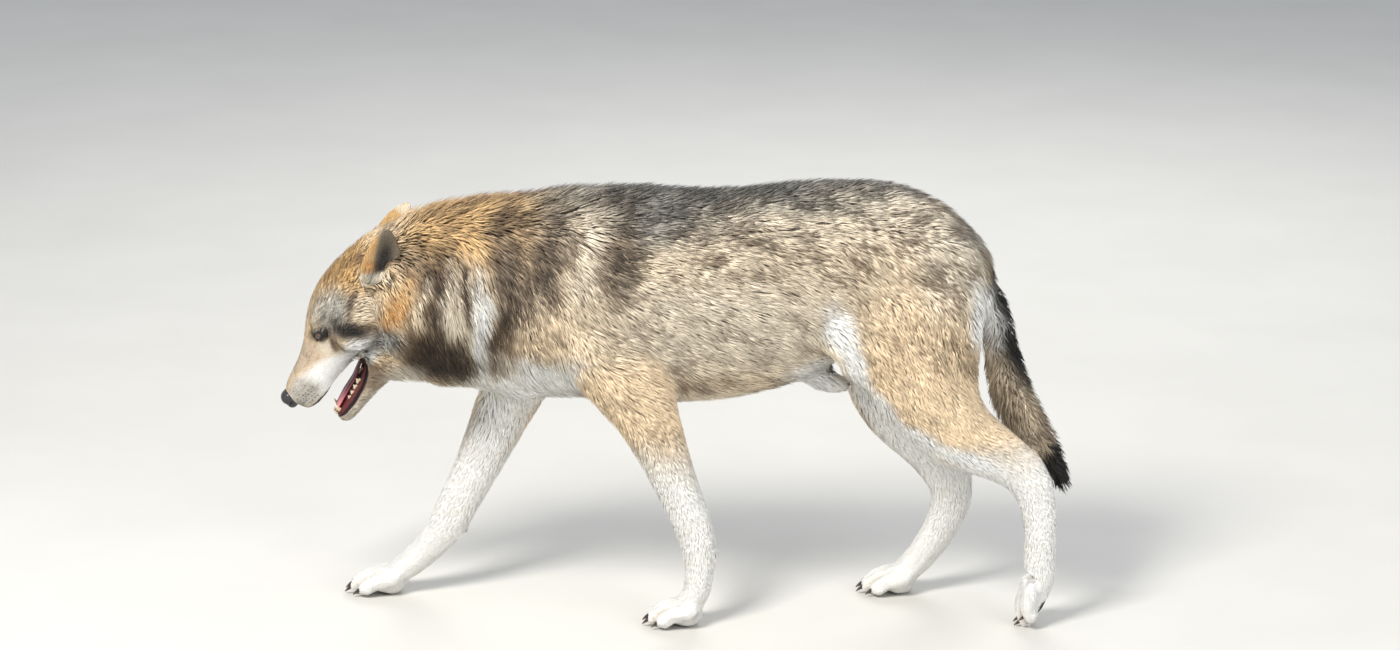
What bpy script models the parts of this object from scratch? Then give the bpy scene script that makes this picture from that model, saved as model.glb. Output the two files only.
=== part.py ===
"""A grey wolf in mid-stride, life size, with its head low and its mouth open.

The wolf walks towards -X and its left side faces -Y.  Every length is in metres and the floor is z = 0.
Each part of the body is a tube of named sections with a round, subdivided cage.  The tubes are remeshed
into one smooth body, and thin cuts part that body where a person would name its parts.  Ears, eyes,
nose, tongue and tail are shaped on their own and fitted against it.
"""

import math
from collections import namedtuple

import bmesh
import bpy
import numpy as np
from mathutils import Matrix, Vector

GAP = 0.0003  # clearance between two touching solids
# How finely each region is remeshed and how many smoothing passes melt its tubes into each other, then
# the triangles over the whole mesh at that region's fineness.
BODY_VOXEL, BODY_SMOOTHING = 0.0055, 7
HEAD_VOXEL, HEAD_SMOOTHING = 0.0040, 5
PAW_VOXEL, PAW_SMOOTHING = 0.0036, 2
HEAD_FACES = 6300
PAW_FACES = 3100
BODY_FACES = 2700
TAIL_FACES = 330

# The head's own frame: its origin lies between the eyes, and its muzzle points along +X.
HEAD_ORIGIN = Vector((-0.629, 0.0, 0.504))
HEAD_PITCH = math.radians(50)  # how far the muzzle points below the horizon
HEAD_ROLL = math.radians(9)  # the crown leans to the left by this
HEAD_YAW = math.radians(1)  # the muzzle turns to the right by this

EYE_RADIUS = 0.0118
EYE_PLACE = Vector((0.000, 0.0393, 0.0070))  # forward, sideways, up
EAR_LENGTH = 0.112
EAR_WIDTH = 0.076
EAR_WALL = 0.006
EAR_ROOT = Vector((-0.137, 0.067, -0.006))
# Which way each ear's tip points: both are laid back, the right one flatter.
EAR_TIP = {"ear_left": Vector((-0.85, 0.22, 0.47)), "ear_right": Vector((-0.96, 0.24, 0.08))}
# The side away from each ear's opening.
EAR_BACK = {"ear_left": Vector((0.0, -1.0, 0.10)), "ear_right": Vector((0.0, -0.70, 0.72))}
TOE_RADIUS = 0.0135

# One ring of a tube: its centre, and how far it reaches sideways, to its upper or front side, and to its
# lower or rear side.  "taper" narrows its upper half and widens its lower half by that share.
Section = namedtuple("Section", "x z side above below y taper", defaults=(0.0, 0.0))

# From the buttocks to the base of the neck.
TRUNK = [
    Section(0.525, 0.585, 0.045, 0.045, 0.060),
    Section(0.490, 0.585, 0.080, 0.092, 0.090),
    Section(0.430, 0.585, 0.102, 0.145, 0.110),
    Section(0.345, 0.590, 0.110, 0.176, 0.120),
    Section(0.260, 0.600, 0.108, 0.172, 0.140),
    Section(0.160, 0.590, 0.118, 0.173, 0.186),
    Section(0.050, 0.575, 0.130, 0.176, 0.202),
    Section(-0.060, 0.575, 0.138, 0.185, 0.202),
    Section(-0.160, 0.580, 0.140, 0.182, 0.198),
    Section(-0.250, 0.580, 0.128, 0.175, 0.196),
    Section(-0.320, 0.580, 0.118, 0.165, 0.200),
    Section(-0.375, 0.575, 0.100, 0.145, 0.170),
]
# From inside the chest to behind the skull, with the ruff hanging below.
NECK = [
    Section(-0.200, 0.590, 0.110, 0.157, 0.150),
    Section(-0.290, 0.585, 0.122, 0.165, 0.175),
    Section(-0.365, 0.575, 0.124, 0.168, 0.190),
    Section(-0.430, 0.565, 0.120, 0.164, 0.160),
    Section(-0.490, 0.560, 0.108, 0.144, 0.145),
    Section(-0.540, 0.555, 0.085, 0.107, 0.115),
]
# The skull and upper jaw from the nose backwards, in the head's frame: x runs forward and z up.
SKULL = [
    Section(0.135, -0.045, 0.020, 0.021, 0.021),
    Section(0.119, -0.044, 0.0265, 0.029, 0.028, taper=0.10),
    Section(0.096, -0.042, 0.031, 0.034, 0.034, taper=0.14),
    Section(0.066, -0.039, 0.034, 0.037, 0.038, taper=0.16),
    Section(0.036, -0.033, 0.037, 0.041, 0.045, taper=0.14),
    Section(0.012, -0.027, 0.042, 0.050, 0.051, taper=0.12),
    Section(-0.012, -0.024, 0.049, 0.064, 0.054, taper=0.18),
    Section(-0.040, -0.021, 0.061, 0.075, 0.058, taper=0.20),
    Section(-0.075, -0.020, 0.072, 0.081, 0.064, taper=0.20),
    Section(-0.115, -0.020, 0.078, 0.081, 0.075, taper=0.25),
    Section(-0.160, -0.020, 0.082, 0.077, 0.080, taper=0.25),
    Section(-0.200, -0.018, 0.080, 0.065, 0.080, taper=0.20),
    Section(-0.235, -0.012, 0.062, 0.040, 0.066, taper=0.10),
]
# The lower jaw, from the chin to the throat.
JAW = [
    Section(0.112, -0.128, 0.017, 0.012, 0.015),
    Section(0.094, -0.126, 0.023, 0.018, 0.020),
    Section(0.066, -0.123, 0.0265, 0.021, 0.023),
    Section(0.036, -0.121, 0.0300, 0.024, 0.026),
    Section(0.010, -0.119, 0.037, 0.037, 0.031),
    Section(-0.025, -0.115, 0.050, 0.046, 0.040),
    Section(-0.060, -0.110, 0.062, 0.040, 0.046),
    Section(-0.100, -0.095, 0.070, 0.045, 0.050),
]
TONGUE = [
    Section(0.100, -0.1050, 0.0125, 0.0045, 0.005),
    Section(0.068, -0.1015, 0.0165, 0.006, 0.005),
    Section(0.032, -0.0985, 0.0165, 0.006, 0.006),
    Section(0.000, -0.0985, 0.014, 0.005, 0.005),
]
TAIL = [
    Section(0.470, 0.600, 0.032, 0.038, 0.040),
    Section(0.506, 0.562, 0.036, 0.040, 0.040),
    Section(0.527, 0.492, 0.038, 0.032, 0.036, 0.003),
    Section(0.538, 0.425, 0.043, 0.036, 0.040, 0.008),
    Section(0.560, 0.360, 0.045, 0.040, 0.042, 0.013),
    Section(0.600, 0.298, 0.041, 0.038, 0.038, 0.018),
    Section(0.633, 0.242, 0.030, 0.029, 0.029, 0.022),
    Section(0.651, 0.203, 0.016, 0.016, 0.016, 0.024),
    Section(0.659, 0.186, 0.006, 0.006, 0.006, 0.024),
]
# The left foreleg is near the end of its step, and the right one reaches forward.
FORELEG_LEFT = [
    Section(-0.185, 0.600, 0.050, 0.075, 0.090, -0.072),
    Section(-0.165, 0.520, 0.056, 0.088, 0.100, -0.083),
    Section(-0.112, 0.440, 0.054, 0.074, 0.082, -0.090),
    Section(-0.076, 0.380, 0.046, 0.058, 0.062, -0.091),
    Section(-0.056, 0.330, 0.038, 0.049, 0.052, -0.090),
    Section(-0.037, 0.285, 0.034, 0.043, 0.043, -0.089),
    Section(-0.008, 0.217, 0.030, 0.040, 0.036, -0.087),
    Section(0.013, 0.155, 0.0285, 0.035, 0.038, -0.086),
    Section(0.018, 0.105, 0.0265, 0.027, 0.028, -0.086),
    Section(0.013, 0.062, 0.0270, 0.025, 0.026, -0.087),
    Section(-0.004, 0.032, 0.0280, 0.022, 0.024, -0.088),
    Section(-0.026, 0.018, 0.0260, 0.018, 0.016, -0.088),
]
FORELEG_RIGHT = [
    Section(-0.200, 0.590, 0.050, 0.075, 0.090, 0.072),
    Section(-0.248, 0.500, 0.054, 0.085, 0.090, 0.083),
    Section(-0.288, 0.420, 0.050, 0.070, 0.068, 0.090),
    Section(-0.319, 0.350, 0.042, 0.057, 0.057, 0.091),
    Section(-0.345, 0.290, 0.035, 0.049, 0.050, 0.090),
    Section(-0.372, 0.232, 0.031, 0.042, 0.043, 0.088),
    Section(-0.398, 0.182, 0.029, 0.038, 0.040, 0.087),
    Section(-0.423, 0.135, 0.0285, 0.035, 0.039, 0.086),
    Section(-0.450, 0.096, 0.0270, 0.028, 0.033, 0.086),
    Section(-0.483, 0.062, 0.0270, 0.024, 0.027, 0.086),
    Section(-0.515, 0.038, 0.0280, 0.020, 0.024, 0.086),
    Section(-0.540, 0.026, 0.0260, 0.016, 0.018, 0.086),
]
# The left hind leg pushes off from its toes, and the right one carries the weight.
HINDLEG_LEFT = [
    Section(0.400, 0.640, 0.050, 0.095, 0.085, -0.060),
    Section(0.392, 0.545, 0.056, 0.130, 0.115, -0.075),
    Section(0.390, 0.465, 0.054, 0.112, 0.106, -0.084),
    Section(0.412, 0.400, 0.047, 0.092, 0.088, -0.088),
    Section(0.450, 0.350, 0.040, 0.073, 0.066, -0.088),
    Section(0.496, 0.320, 0.034, 0.060, 0.056, -0.087),
    Section(0.540, 0.296, 0.029, 0.048, 0.048, -0.086),
    Section(0.580, 0.262, 0.026, 0.041, 0.046, -0.086),
    Section(0.597, 0.212, 0.024, 0.035, 0.035, -0.086),
    Section(0.601, 0.155, 0.0235, 0.032, 0.031, -0.086),
    Section(0.600, 0.098, 0.0240, 0.030, 0.029, -0.087),
    Section(0.594, 0.064, 0.0250, 0.027, 0.027, -0.087),
    Section(0.586, 0.040, 0.0250, 0.024, 0.024, -0.087),
    Section(0.578, 0.020, 0.0220, 0.018, 0.018, -0.087),
]
HINDLEG_RIGHT = [
    Section(0.390, 0.640, 0.050, 0.095, 0.085, 0.060),
    Section(0.352, 0.545, 0.056, 0.115, 0.120, 0.075),
    Section(0.330, 0.465, 0.054, 0.090, 0.110, 0.084),
    Section(0.335, 0.395, 0.046, 0.075, 0.088, 0.088),
    Section(0.358, 0.336, 0.039, 0.068, 0.070, 0.088),
    Section(0.390, 0.297, 0.034, 0.056, 0.056, 0.087),
    Section(0.423, 0.258, 0.029, 0.047, 0.050, 0.086),
    Section(0.454, 0.213, 0.026, 0.044, 0.051, 0.086),
    Section(0.459, 0.168, 0.024, 0.038, 0.043, 0.086),
    Section(0.441, 0.122, 0.0235, 0.034, 0.034, 0.086),
    Section(0.415, 0.080, 0.0240, 0.028, 0.029, 0.087),
    Section(0.390, 0.050, 0.0265, 0.024, 0.027, 0.087),
    Section(0.366, 0.032, 0.0270, 0.020, 0.022, 0.087),
    Section(0.344, 0.022, 0.0250, 0.015, 0.016, 0.087),
]
# Rounded muscles and folds: centre, radii along x, y and z, and the turn about y.  Both sides get one.
Bulge = namedtuple("Bulge", "place radii turn")
BODY_BULGES = [
    Bulge((-0.235, 0.085, 0.535), (0.075, 0.045, 0.085), 25),  # point of the shoulder
    Bulge((-0.150, 0.095, 0.620), (0.075, 0.035, 0.100), -20),  # shoulder blade
    Bulge((0.385, 0.062, 0.622), (0.120, 0.052, 0.100), 15),  # gluteal muscle
    Bulge((0.285, 0.088, 0.500), (0.060, 0.028, 0.085), -20),  # flank fold
]
MIDLINE_BULGES = [
    Bulge((0.228, 0.0, 0.412), (0.060, 0.024, 0.026), 10),  # sheath under the belly
    Bulge((-0.300, 0.0, 0.425), (0.065, 0.060, 0.050), 20),  # breast
    Bulge((-0.420, 0.0, 0.445), (0.065, 0.075, 0.045), -5),  # ruff
    Bulge((-0.490, 0.0, 0.454), (0.075, 0.058, 0.047), 0),  # throat
]
HEAD_BULGES = [
    Bulge((-0.062, 0.058, -0.030), (0.060, 0.030, 0.042), 12),  # cheek muscle
    Bulge((-0.026, 0.031, 0.030), (0.032, 0.021, 0.014), 20),  # brow
    Bulge((-0.140, 0.062, -0.075), (0.055, 0.036, 0.060), 25),  # cheek ruff
    Bulge((-0.058, 0.042, -0.088), (0.058, 0.030, 0.036), 20),  # jowl
    Bulge((0.085, 0.017, -0.060), (0.045, 0.014, 0.018), 4),  # lip pad
    Bulge((-0.135, 0.052, 0.004), (0.034, 0.024, 0.034), -28),  # ear root
]

# A paw's four toes: how far to the side, and how far short of the longest, in toe radii.
TOES = [(-2.20, 1.15), (-0.80, 0.0), (0.80, 0.0), (2.20, 1.15)]
# A toe's three balls: how far behind its tip as a share of the paw, then height, half length and thickness
# in toe radii.
TOE_JOINTS = [(0.46, 2.30, 1.9, 1.10), (0.27, 2.05, 1.6, 1.08), (0.115, 1.25, 1.25, 1.02)]
# The stopper pad behind each wrist.
WRIST_PADS = [(0.046, -0.086, 0.127), (-0.391, 0.086, 0.114)]
WRIST_PAD_RADII = (0.012, 0.010, 0.014)

COAT = {
    "grey_coat": ((0.47, 0.39, 0.30), 0.85),
    "tan_coat": ((0.62, 0.45, 0.29), 0.85),
    "cream_coat": ((0.80, 0.74, 0.64), 0.85),
    "dark_coat": ((0.20, 0.17, 0.15), 0.85),
    "eye_amber": ((0.36, 0.20, 0.05), 0.08),
    "nose_leather": ((0.03, 0.03, 0.035), 0.45),
    "tongue_flesh": ((0.62, 0.25, 0.27), 0.40),
}


def clear_scene():
    """Removes everything that the file started with."""
    for obj in list(bpy.data.objects):
        bpy.data.objects.remove(obj, do_unlink=True)


def new_collection(name, hidden=False):
    """A collection linked to the scene."""
    made = bpy.data.collections.new(name)
    made.hide_render = hidden
    bpy.context.scene.collection.children.link(made)
    return made


def material(name):
    """The Principled material of one kind of coat, horn or flesh."""
    found = bpy.data.materials.get(name)
    if found is None:
        colour, roughness = COAT[name]
        found = bpy.data.materials.new(name)
        found.use_nodes = True
        shader = found.node_tree.nodes["Principled BSDF"]
        shader.inputs["Base Color"].default_value = (*colour, 1.0)
        shader.inputs["Roughness"].default_value = roughness
        shader.inputs["Metallic"].default_value = 0.0
    return found


def head_matrix():
    """The head's frame in the world: +X of the frame is the muzzle and +Z the crown."""
    facing = Matrix.Rotation(math.pi, 4, "Z")
    pitch = Matrix.Rotation(HEAD_PITCH, 4, "Y")
    roll = Matrix.Rotation(-HEAD_ROLL, 4, "X")
    yaw = Matrix.Rotation(-HEAD_YAW, 4, "Z")
    return Matrix.Translation(HEAD_ORIGIN) @ yaw @ facing @ pitch @ roll


def object_from(name, bm, collection):
    """A mesh object that holds what bm holds, facing out."""
    bm.normal_update()
    bmesh.ops.recalc_face_normals(bm, faces=bm.faces)
    mesh = bpy.data.meshes.new(name)
    bm.to_mesh(mesh)
    bm.free()
    obj = bpy.data.objects.new(name, mesh)
    collection.objects.link(obj)
    return obj


def ring_points(section, tangent, count):
    """The points of one ring, pushed out by what a subdivided ring of this count shrinks."""
    side = Vector((0, 1, 0))
    normal = side.cross(tangent).normalized()
    centre = Vector((section.x, section.y, section.z))
    swell = 3 / (2 + math.cos(2 * math.pi / count))
    points = []
    for k in range(count):
        angle = 2 * math.pi * k / count
        across = section.side * math.cos(angle) * (1 - section.taper * math.sin(angle))
        along = (section.above if math.sin(angle) > 0 else section.below) * math.sin(angle)
        points.append(centre + swell * (across * side + along * normal))
    return points


def tube(name, sections, collection, count=12, levels=2):
    """A closed tube through the sections, each ring square to the path, under a Subdivision Surface."""
    centres = [Vector((s.x, s.y, s.z)) for s in sections]
    bm = bmesh.new()
    rings = []
    for i, section in enumerate(sections):
        ahead = centres[min(i + 1, len(centres) - 1)]
        behind = centres[max(i - 1, 0)]
        tangent = (ahead - behind).normalized()
        rings.append([bm.verts.new(p) for p in ring_points(section, tangent, count)])
    for low, high in zip(rings, rings[1:]):
        for k in range(count):
            n = (k + 1) % count
            bm.faces.new((low[k], low[n], high[n], high[k]))
    bm.faces.new(rings[0])
    bm.faces.new(rings[-1])
    obj = object_from(name, bm, collection)
    subdivide(obj, levels)
    return obj


def subdivide(obj, levels):
    """A Subdivision Surface that looks the same in the viewport and in a render."""
    modifier = obj.modifiers.new("round", "SUBSURF")
    modifier.levels = levels
    modifier.render_levels = levels


def ball(name, place, radii, collection, matrix=None, turn=0.0, segments=12, rings=8):
    """An ellipsoid turned about y by some degrees, in the given frame."""
    bm = bmesh.new()
    bmesh.ops.create_uvsphere(bm, u_segments=segments, v_segments=rings, radius=1.0)
    shape = (
        Matrix.Translation(place)
        @ Matrix.Rotation(math.radians(turn), 4, "Y")
        @ Matrix.Diagonal((*radii, 1.0))
    )
    bm.transform((matrix or Matrix.Identity(4)) @ shape)
    return object_from(name, bm, collection)


def evaluated_copy(obj, name, collection):
    """A plain mesh object with obj's modifiers and place applied."""
    bpy.context.view_layer.update()
    graph = bpy.context.evaluated_depsgraph_get()
    mesh = bpy.data.meshes.new_from_object(obj.evaluated_get(graph), depsgraph=graph)
    mesh.name = name
    mesh.transform(obj.matrix_world)
    made = bpy.data.objects.new(name, mesh)
    collection.objects.link(made)
    return made


def applied(obj, collection):
    """obj as a plain mesh under the same name.  The original is removed."""
    name = obj.name
    made = evaluated_copy(obj, name, collection)
    bpy.data.objects.remove(obj)
    made.name = name
    return made


def joined(objects, name, collection):
    """The evaluated meshes of several objects in one mesh object."""
    bm = bmesh.new()
    for obj in objects:
        copy = evaluated_copy(obj, name, collection)
        bm.from_mesh(copy.data)
        bpy.data.objects.remove(copy)
    return object_from(name, bm, collection)


def skin_of(forms, name, voxel, smoothing, faces, collection):
    """One closed skin round the forms: remeshed, smoothed, then thinned to about that many triangles."""
    whole = joined(forms, name, collection)
    remesh = whole.modifiers.new("one skin", "REMESH")
    remesh.mode = "VOXEL"
    remesh.voxel_size = voxel
    smooth = whole.modifiers.new("smooth", "SMOOTH")
    smooth.factor = 0.5
    smooth.iterations = smoothing
    whole = applied(whole, collection)
    thin = whole.modifiers.new("thin", "DECIMATE")
    thin.ratio = min(1.0, faces / (2 * len(whole.data.polygons)))
    return applied(whole, collection)


def boolean(first, second, operation, collection):
    """first with second cut from it, joined to it, or kept in common, as a new object.  first is removed."""
    modifier = first.modifiers.new("boolean", "BOOLEAN")
    modifier.operation = operation
    modifier.object = second
    modifier.solver = "EXACT"
    return applied(first, collection)


def swollen(obj, amount, collection):
    """A copy of obj whose surface stands out by that amount."""
    work = evaluated_copy(obj, obj.name + "_swollen", collection)
    push = work.modifiers.new("push", "DISPLACE")
    push.strength = amount
    push.mid_level = 0.0
    made = evaluated_copy(work, obj.name + "_clearance", collection)
    bpy.data.objects.remove(work)
    return made


def largest_body(obj):
    """Removes every loose piece but the largest, such as a sliver that a cut left behind."""
    bm = bmesh.new()
    bm.from_mesh(obj.data)
    bm.verts.index_update()
    unseen = set(bm.verts)
    bodies = []
    while unseen:
        stack = [unseen.pop()]
        body = set(stack)
        while stack:
            for edge in stack.pop().link_edges:
                for vert in edge.verts:
                    if vert in unseen:
                        unseen.remove(vert)
                        body.add(vert)
                        stack.append(vert)
        bodies.append(body)
    bodies.sort(key=len)
    for body in bodies[:-1]:
        bmesh.ops.delete(bm, geom=list(body), context="VERTS")
    bm.to_mesh(obj.data)
    bm.free()
    return obj


# A cut: a point on its plane, the direction in which the named part lies, and the box that holds the part,
# as half its size sideways and upwards (square to the direction) and how far the part reaches.
Cut = namedtuple("Cut", "point direction half_side half_up reach")


def region(cut, offset, name, collection):
    """The box on the part's side of a cut, with its near face moved along the direction by offset."""
    direction = Vector(cut.direction).normalized()
    side = Vector((0, 1, 0))
    side = (side - side.dot(direction) * direction).normalized()
    up = direction.cross(side)
    frame = Matrix((side, up, direction)).transposed().to_4x4()
    length = cut.reach - offset
    middle = Vector(cut.point) + direction * (offset + length / 2)
    bm = bmesh.new()
    bmesh.ops.create_cube(bm, size=1.0)
    bm.transform(
        Matrix.Translation(middle)
        @ frame
        @ Matrix.Diagonal((2 * cut.half_side, 2 * cut.half_up, length, 1.0))
    )
    box = object_from(name, bm, collection)
    box.display_type = "WIRE"
    return box


def part_of(source, name, cut, inner_cuts, work):
    """The part of source inside a cut's region, less the regions of the cuts further out."""
    part = evaluated_copy(source, name, work)
    if cut is not None:
        part = boolean(part, region(cut, GAP / 2, "region", work), "INTERSECT", work)
    for inner in inner_cuts:
        part = boolean(part, region(inner, -GAP / 2, "region", work), "DIFFERENCE", work)
    part.name = name
    return largest_body(part)


def paw(name, heel, heading, pitch, length, work):
    """A foot: four bent toes, a broad pad and the web between, heel first, turned to its heading and pitch."""
    frame = (
        Matrix.Translation(heel)
        @ Matrix.Rotation(math.pi + math.radians(heading), 4, "Z")
        @ Matrix.Rotation(math.radians(pitch), 4, "Y")
    )
    r = TOE_RADIUS
    pieces = [
        ball(name, (0.40 * length, 0, 1.6 * r), (0.30 * length, 2.5 * r, 1.75 * r), work, frame),
        ball(name, (0.34 * length, 0, 0.9 * r), (0.20 * length, 1.75 * r, 1.1 * r), work, frame),
    ]
    for side, short in TOES:
        tip = length - short * r
        for reach, height, half, thick in TOE_JOINTS:
            place = (tip - reach * length, side * r * (1 - 0.16 * reach), height * r)
            radii = (half * r, thick * r, thick * r * 1.04)
            pieces.append(ball(name, place, radii, work, frame, turn=18))
    return pieces


def claws(name, heel, heading, pitch, length, work):
    """Four short cones, one at the front of each toe."""
    frame = (
        Matrix.Translation(heel)
        @ Matrix.Rotation(math.pi + math.radians(heading), 4, "Z")
        @ Matrix.Rotation(math.radians(pitch), 4, "Y")
    )
    r = TOE_RADIUS
    made = []
    for side, short in TOES:
        bm = bmesh.new()
        bmesh.ops.create_cone(
            bm, cap_ends=True, segments=6, radius1=0.34 * r, radius2=0.10 * r, depth=1.6 * r
        )
        place = Matrix.Translation((length - (short + 0.15) * r, side * r * 0.99, 0.80 * r))
        bm.transform(frame @ place @ Matrix.Rotation(math.radians(112), 4, "Y"))
        made.append(object_from(name, bm, work))
    return made


def ear(name, work):
    """A cupped leaf: wide near its base, pointed at its tip, open to the side and a little forward."""
    rows, columns = 5, 3
    bm = bmesh.new()
    bmesh.ops.create_grid(bm, x_segments=columns, y_segments=rows, size=1.0)
    for vert in bm.verts:
        across = vert.co.x
        along = (vert.co.y + 1) / 2
        half = 0.5 * EAR_WIDTH * (0.80 + 0.55 * along - 1.35 * along**3) ** 0.8 if along < 1 else 0.0
        half = max(half, 0.0035)
        curl = 1.05 - 0.45 * along
        vert.co = Vector(
            (
                EAR_LENGTH * along,
                half * math.sin(across * curl) / math.sin(curl) * (1.0 - 0.1 * along),
                half * 0.95 * (math.cos(across * curl) - 1.0) + 0.012 * along * (1 - along),
            )
        )
    obj = object_from(name, bm, work)
    wall = obj.modifiers.new("wall", "SOLIDIFY")
    wall.thickness = EAR_WALL
    wall.offset = 0.0
    subdivide(obj, 1)
    return obj


def ear_matrix(name, side):
    """From the leaf (x to the tip, z out of its back) to the head's frame."""
    mirror = Matrix.Diagonal((1, side, 1))
    tip = (mirror @ EAR_TIP[name]).normalized()
    back = mirror @ EAR_BACK[name]
    back = (back - back.dot(tip) * tip).normalized()
    frame = Matrix((tip, back.cross(tip), back)).transposed().to_4x4()
    return Matrix.Translation(mirror @ EAR_ROOT) @ frame


def teeth(head, work):
    """The teeth that the open mouth shows, as (object, belongs to the lower jaw)."""
    rows = (
        # lower jaw?, forward, to the side, height of the root, radius, length
        (True, 0.098, 0.0115, -0.112, 0.0040, 0.012),
        (True, 0.070, 0.0160, -0.104, 0.0034, 0.0050),
        (True, 0.052, 0.0180, -0.102, 0.0038, 0.0060),
        (True, 0.033, 0.0200, -0.100, 0.0046, 0.0065),
        (False, 0.106, 0.0160, -0.066, 0.0042, 0.012),
    )
    made = []
    for lower, forward, sideways, root, radius, length in rows:
        for side in (-1, 1):
            bm = bmesh.new()
            bmesh.ops.create_cone(
                bm, cap_ends=True, segments=6, radius1=1.3 * radius, radius2=0.25 * radius, depth=2 * length
            )
            turn = Matrix.Identity(4) if lower else Matrix.Rotation(math.pi, 4, "X")
            bm.transform(head @ Matrix.Translation((forward, sideways * side, root)) @ turn)
            made.append((object_from("tooth", bm, work), lower))
    return made


# Where each foot stands: heel, heading and pitch in degrees, length.
PAWS = {
    "forepaw_left": (Vector((0.034, -0.088, 0.0)), 0, 0, 0.104),
    "forepaw_right": (Vector((-0.487, 0.086, 0.0)), 0, 0, 0.108),
    "hindpaw_left": (Vector((0.622, -0.087, 0.079)), 0, 68, 0.088),
    "hindpaw_right": (Vector((0.408, 0.087, 0.0)), 0, 0, 0.104),
}

HEAD_CUT = Cut((-0.497, 0.0, 0.560), (-0.985, 0.0, 0.17), 0.20, 0.26, 0.42)
NECK_CUT = Cut((-0.300, 0.0, 0.600), (-0.90, 0.0, 0.42), 0.20, 0.42, 0.60)
LIMB_CUTS = {
    "foreleg_left": Cut((-0.040, -0.09, 0.367), (0.10, 0.0, -0.99), 0.080, 0.105, 0.45),
    "foreleg_right": Cut((-0.320, 0.09, 0.364), (-0.30, 0.0, -0.95), 0.080, 0.170, 0.48),
    "hindleg_left": Cut((0.460, -0.090, 0.445), (0.18, 0.0, -0.98), 0.065, 0.175, 0.55),
    "hindleg_right": Cut((0.370, 0.090, 0.430), (0.02, 0.0, -1.0), 0.065, 0.130, 0.50),
}
SHANK_CUTS = {
    "shank_left": Cut((0.520, -0.086, 0.306), (0.86, 0.0, -0.50), 0.080, 0.15, 0.45),
    "shank_right": Cut((0.392, 0.086, 0.284), (0.62, 0.0, -0.78), 0.080, 0.14, 0.40),
}
PAW_CUTS = {
    "forepaw_left": Cut((0.015, -0.088, 0.074), (-0.12, 0.0, -0.99), 0.075, 0.12, 0.20),
    "forepaw_right": Cut((-0.470, 0.086, 0.070), (-0.66, 0.0, -0.75), 0.075, 0.11, 0.22),
    "hindpaw_left": Cut((0.598, -0.087, 0.083), (-0.12, 0.0, -0.99), 0.075, 0.09, 0.20),
    "hindpaw_right": Cut((0.402, 0.087, 0.066), (-0.55, 0.0, -0.83), 0.075, 0.10, 0.22),
}
FINISH = {
    "head": "tan_coat",
    "lower_jaw": "cream_coat",
    "neck": "grey_coat",
    "trunk": "grey_coat",
    "tail": "dark_coat",
    "ear_left": "tan_coat",
    "ear_right": "tan_coat",
    "eye_left": "eye_amber",
    "eye_right": "eye_amber",
    "nose": "nose_leather",
    "tongue": "tongue_flesh",
}


def leg_forms(work):
    """The tubes of the four legs and the balls of the four paws."""
    forms = [
        tube("foreleg_left_form", FORELEG_LEFT, work),
        tube("foreleg_right_form", FORELEG_RIGHT, work),
        tube("hindleg_left_form", HINDLEG_LEFT, work),
        tube("hindleg_right_form", HINDLEG_RIGHT, work),
    ]
    for place in WRIST_PADS:
        forms.append(ball("wrist_pad_form", place, WRIST_PAD_RADII, work))
    for name, (heel, heading, pitch, length) in PAWS.items():
        forms += paw(name + "_form", heel, heading, pitch, length, work)
    return forms


def torso_forms(head, work):
    """The tubes and muscles of the trunk, neck, skull and lower jaw."""
    forms = [
        tube("trunk_form", TRUNK, work, count=16),
        tube("neck_form", NECK, work, count=16),
        tube("skull_form", SKULL, work, count=16),
        tube("jaw_form", JAW, work),
    ]
    for form in forms[2:]:
        form.matrix_world = head
    for bulge in MIDLINE_BULGES:
        forms.append(ball("fold_form", bulge.place, bulge.radii, work, turn=bulge.turn))
    for bulges, frame in ((BODY_BULGES, None), (HEAD_BULGES, head)):
        for bulge in bulges:
            for side in (-1, 1):
                x, y, z = bulge.place
                forms.append(ball("muscle_form", (x, side * y, z), bulge.radii, work, frame, bulge.turn))
    return forms


def flat_footed(obj, work):
    """obj with all that reaches below the floor cut away."""
    below_floor = Cut((0.0, 0.0, 0.0), (0.0, 0.0, -1.0), 1.5, 1.5, 0.2)
    return boolean(obj, region(below_floor, 0.0, "floor", work), "DIFFERENCE", work)


def fitted(obj, against, work):
    """obj with the solids of against cut from it, with a gap."""
    for other in against:
        obj = boolean(obj, swollen(other, GAP, work), "DIFFERENCE", work)
    return largest_body(obj)


def finish(obj, name, material_name, collection):
    """Moves a finished solid into the model's collection, with its name, material and shading."""
    for other in list(obj.users_collection):
        other.objects.unlink(obj)
    collection.objects.link(obj)
    obj.name = name
    obj.data.name = name
    obj.data.materials.clear()
    obj.data.materials.append(material(material_name))
    obj.data.shade_smooth()
    obj.data.set_sharp_from_angle(angle=math.radians(50))
    return obj


def centre_on_floor(objects):
    """Moves the model so that its box is centred on the origin in x and y."""
    corners = np.array([obj.matrix_world @ v.co for obj in objects for v in obj.data.vertices])
    middle = (corners.min(axis=0) + corners.max(axis=0)) / 2
    for obj in objects:
        obj.data.transform(Matrix.Translation((-middle[0], -middle[1], 0.0)))


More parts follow.
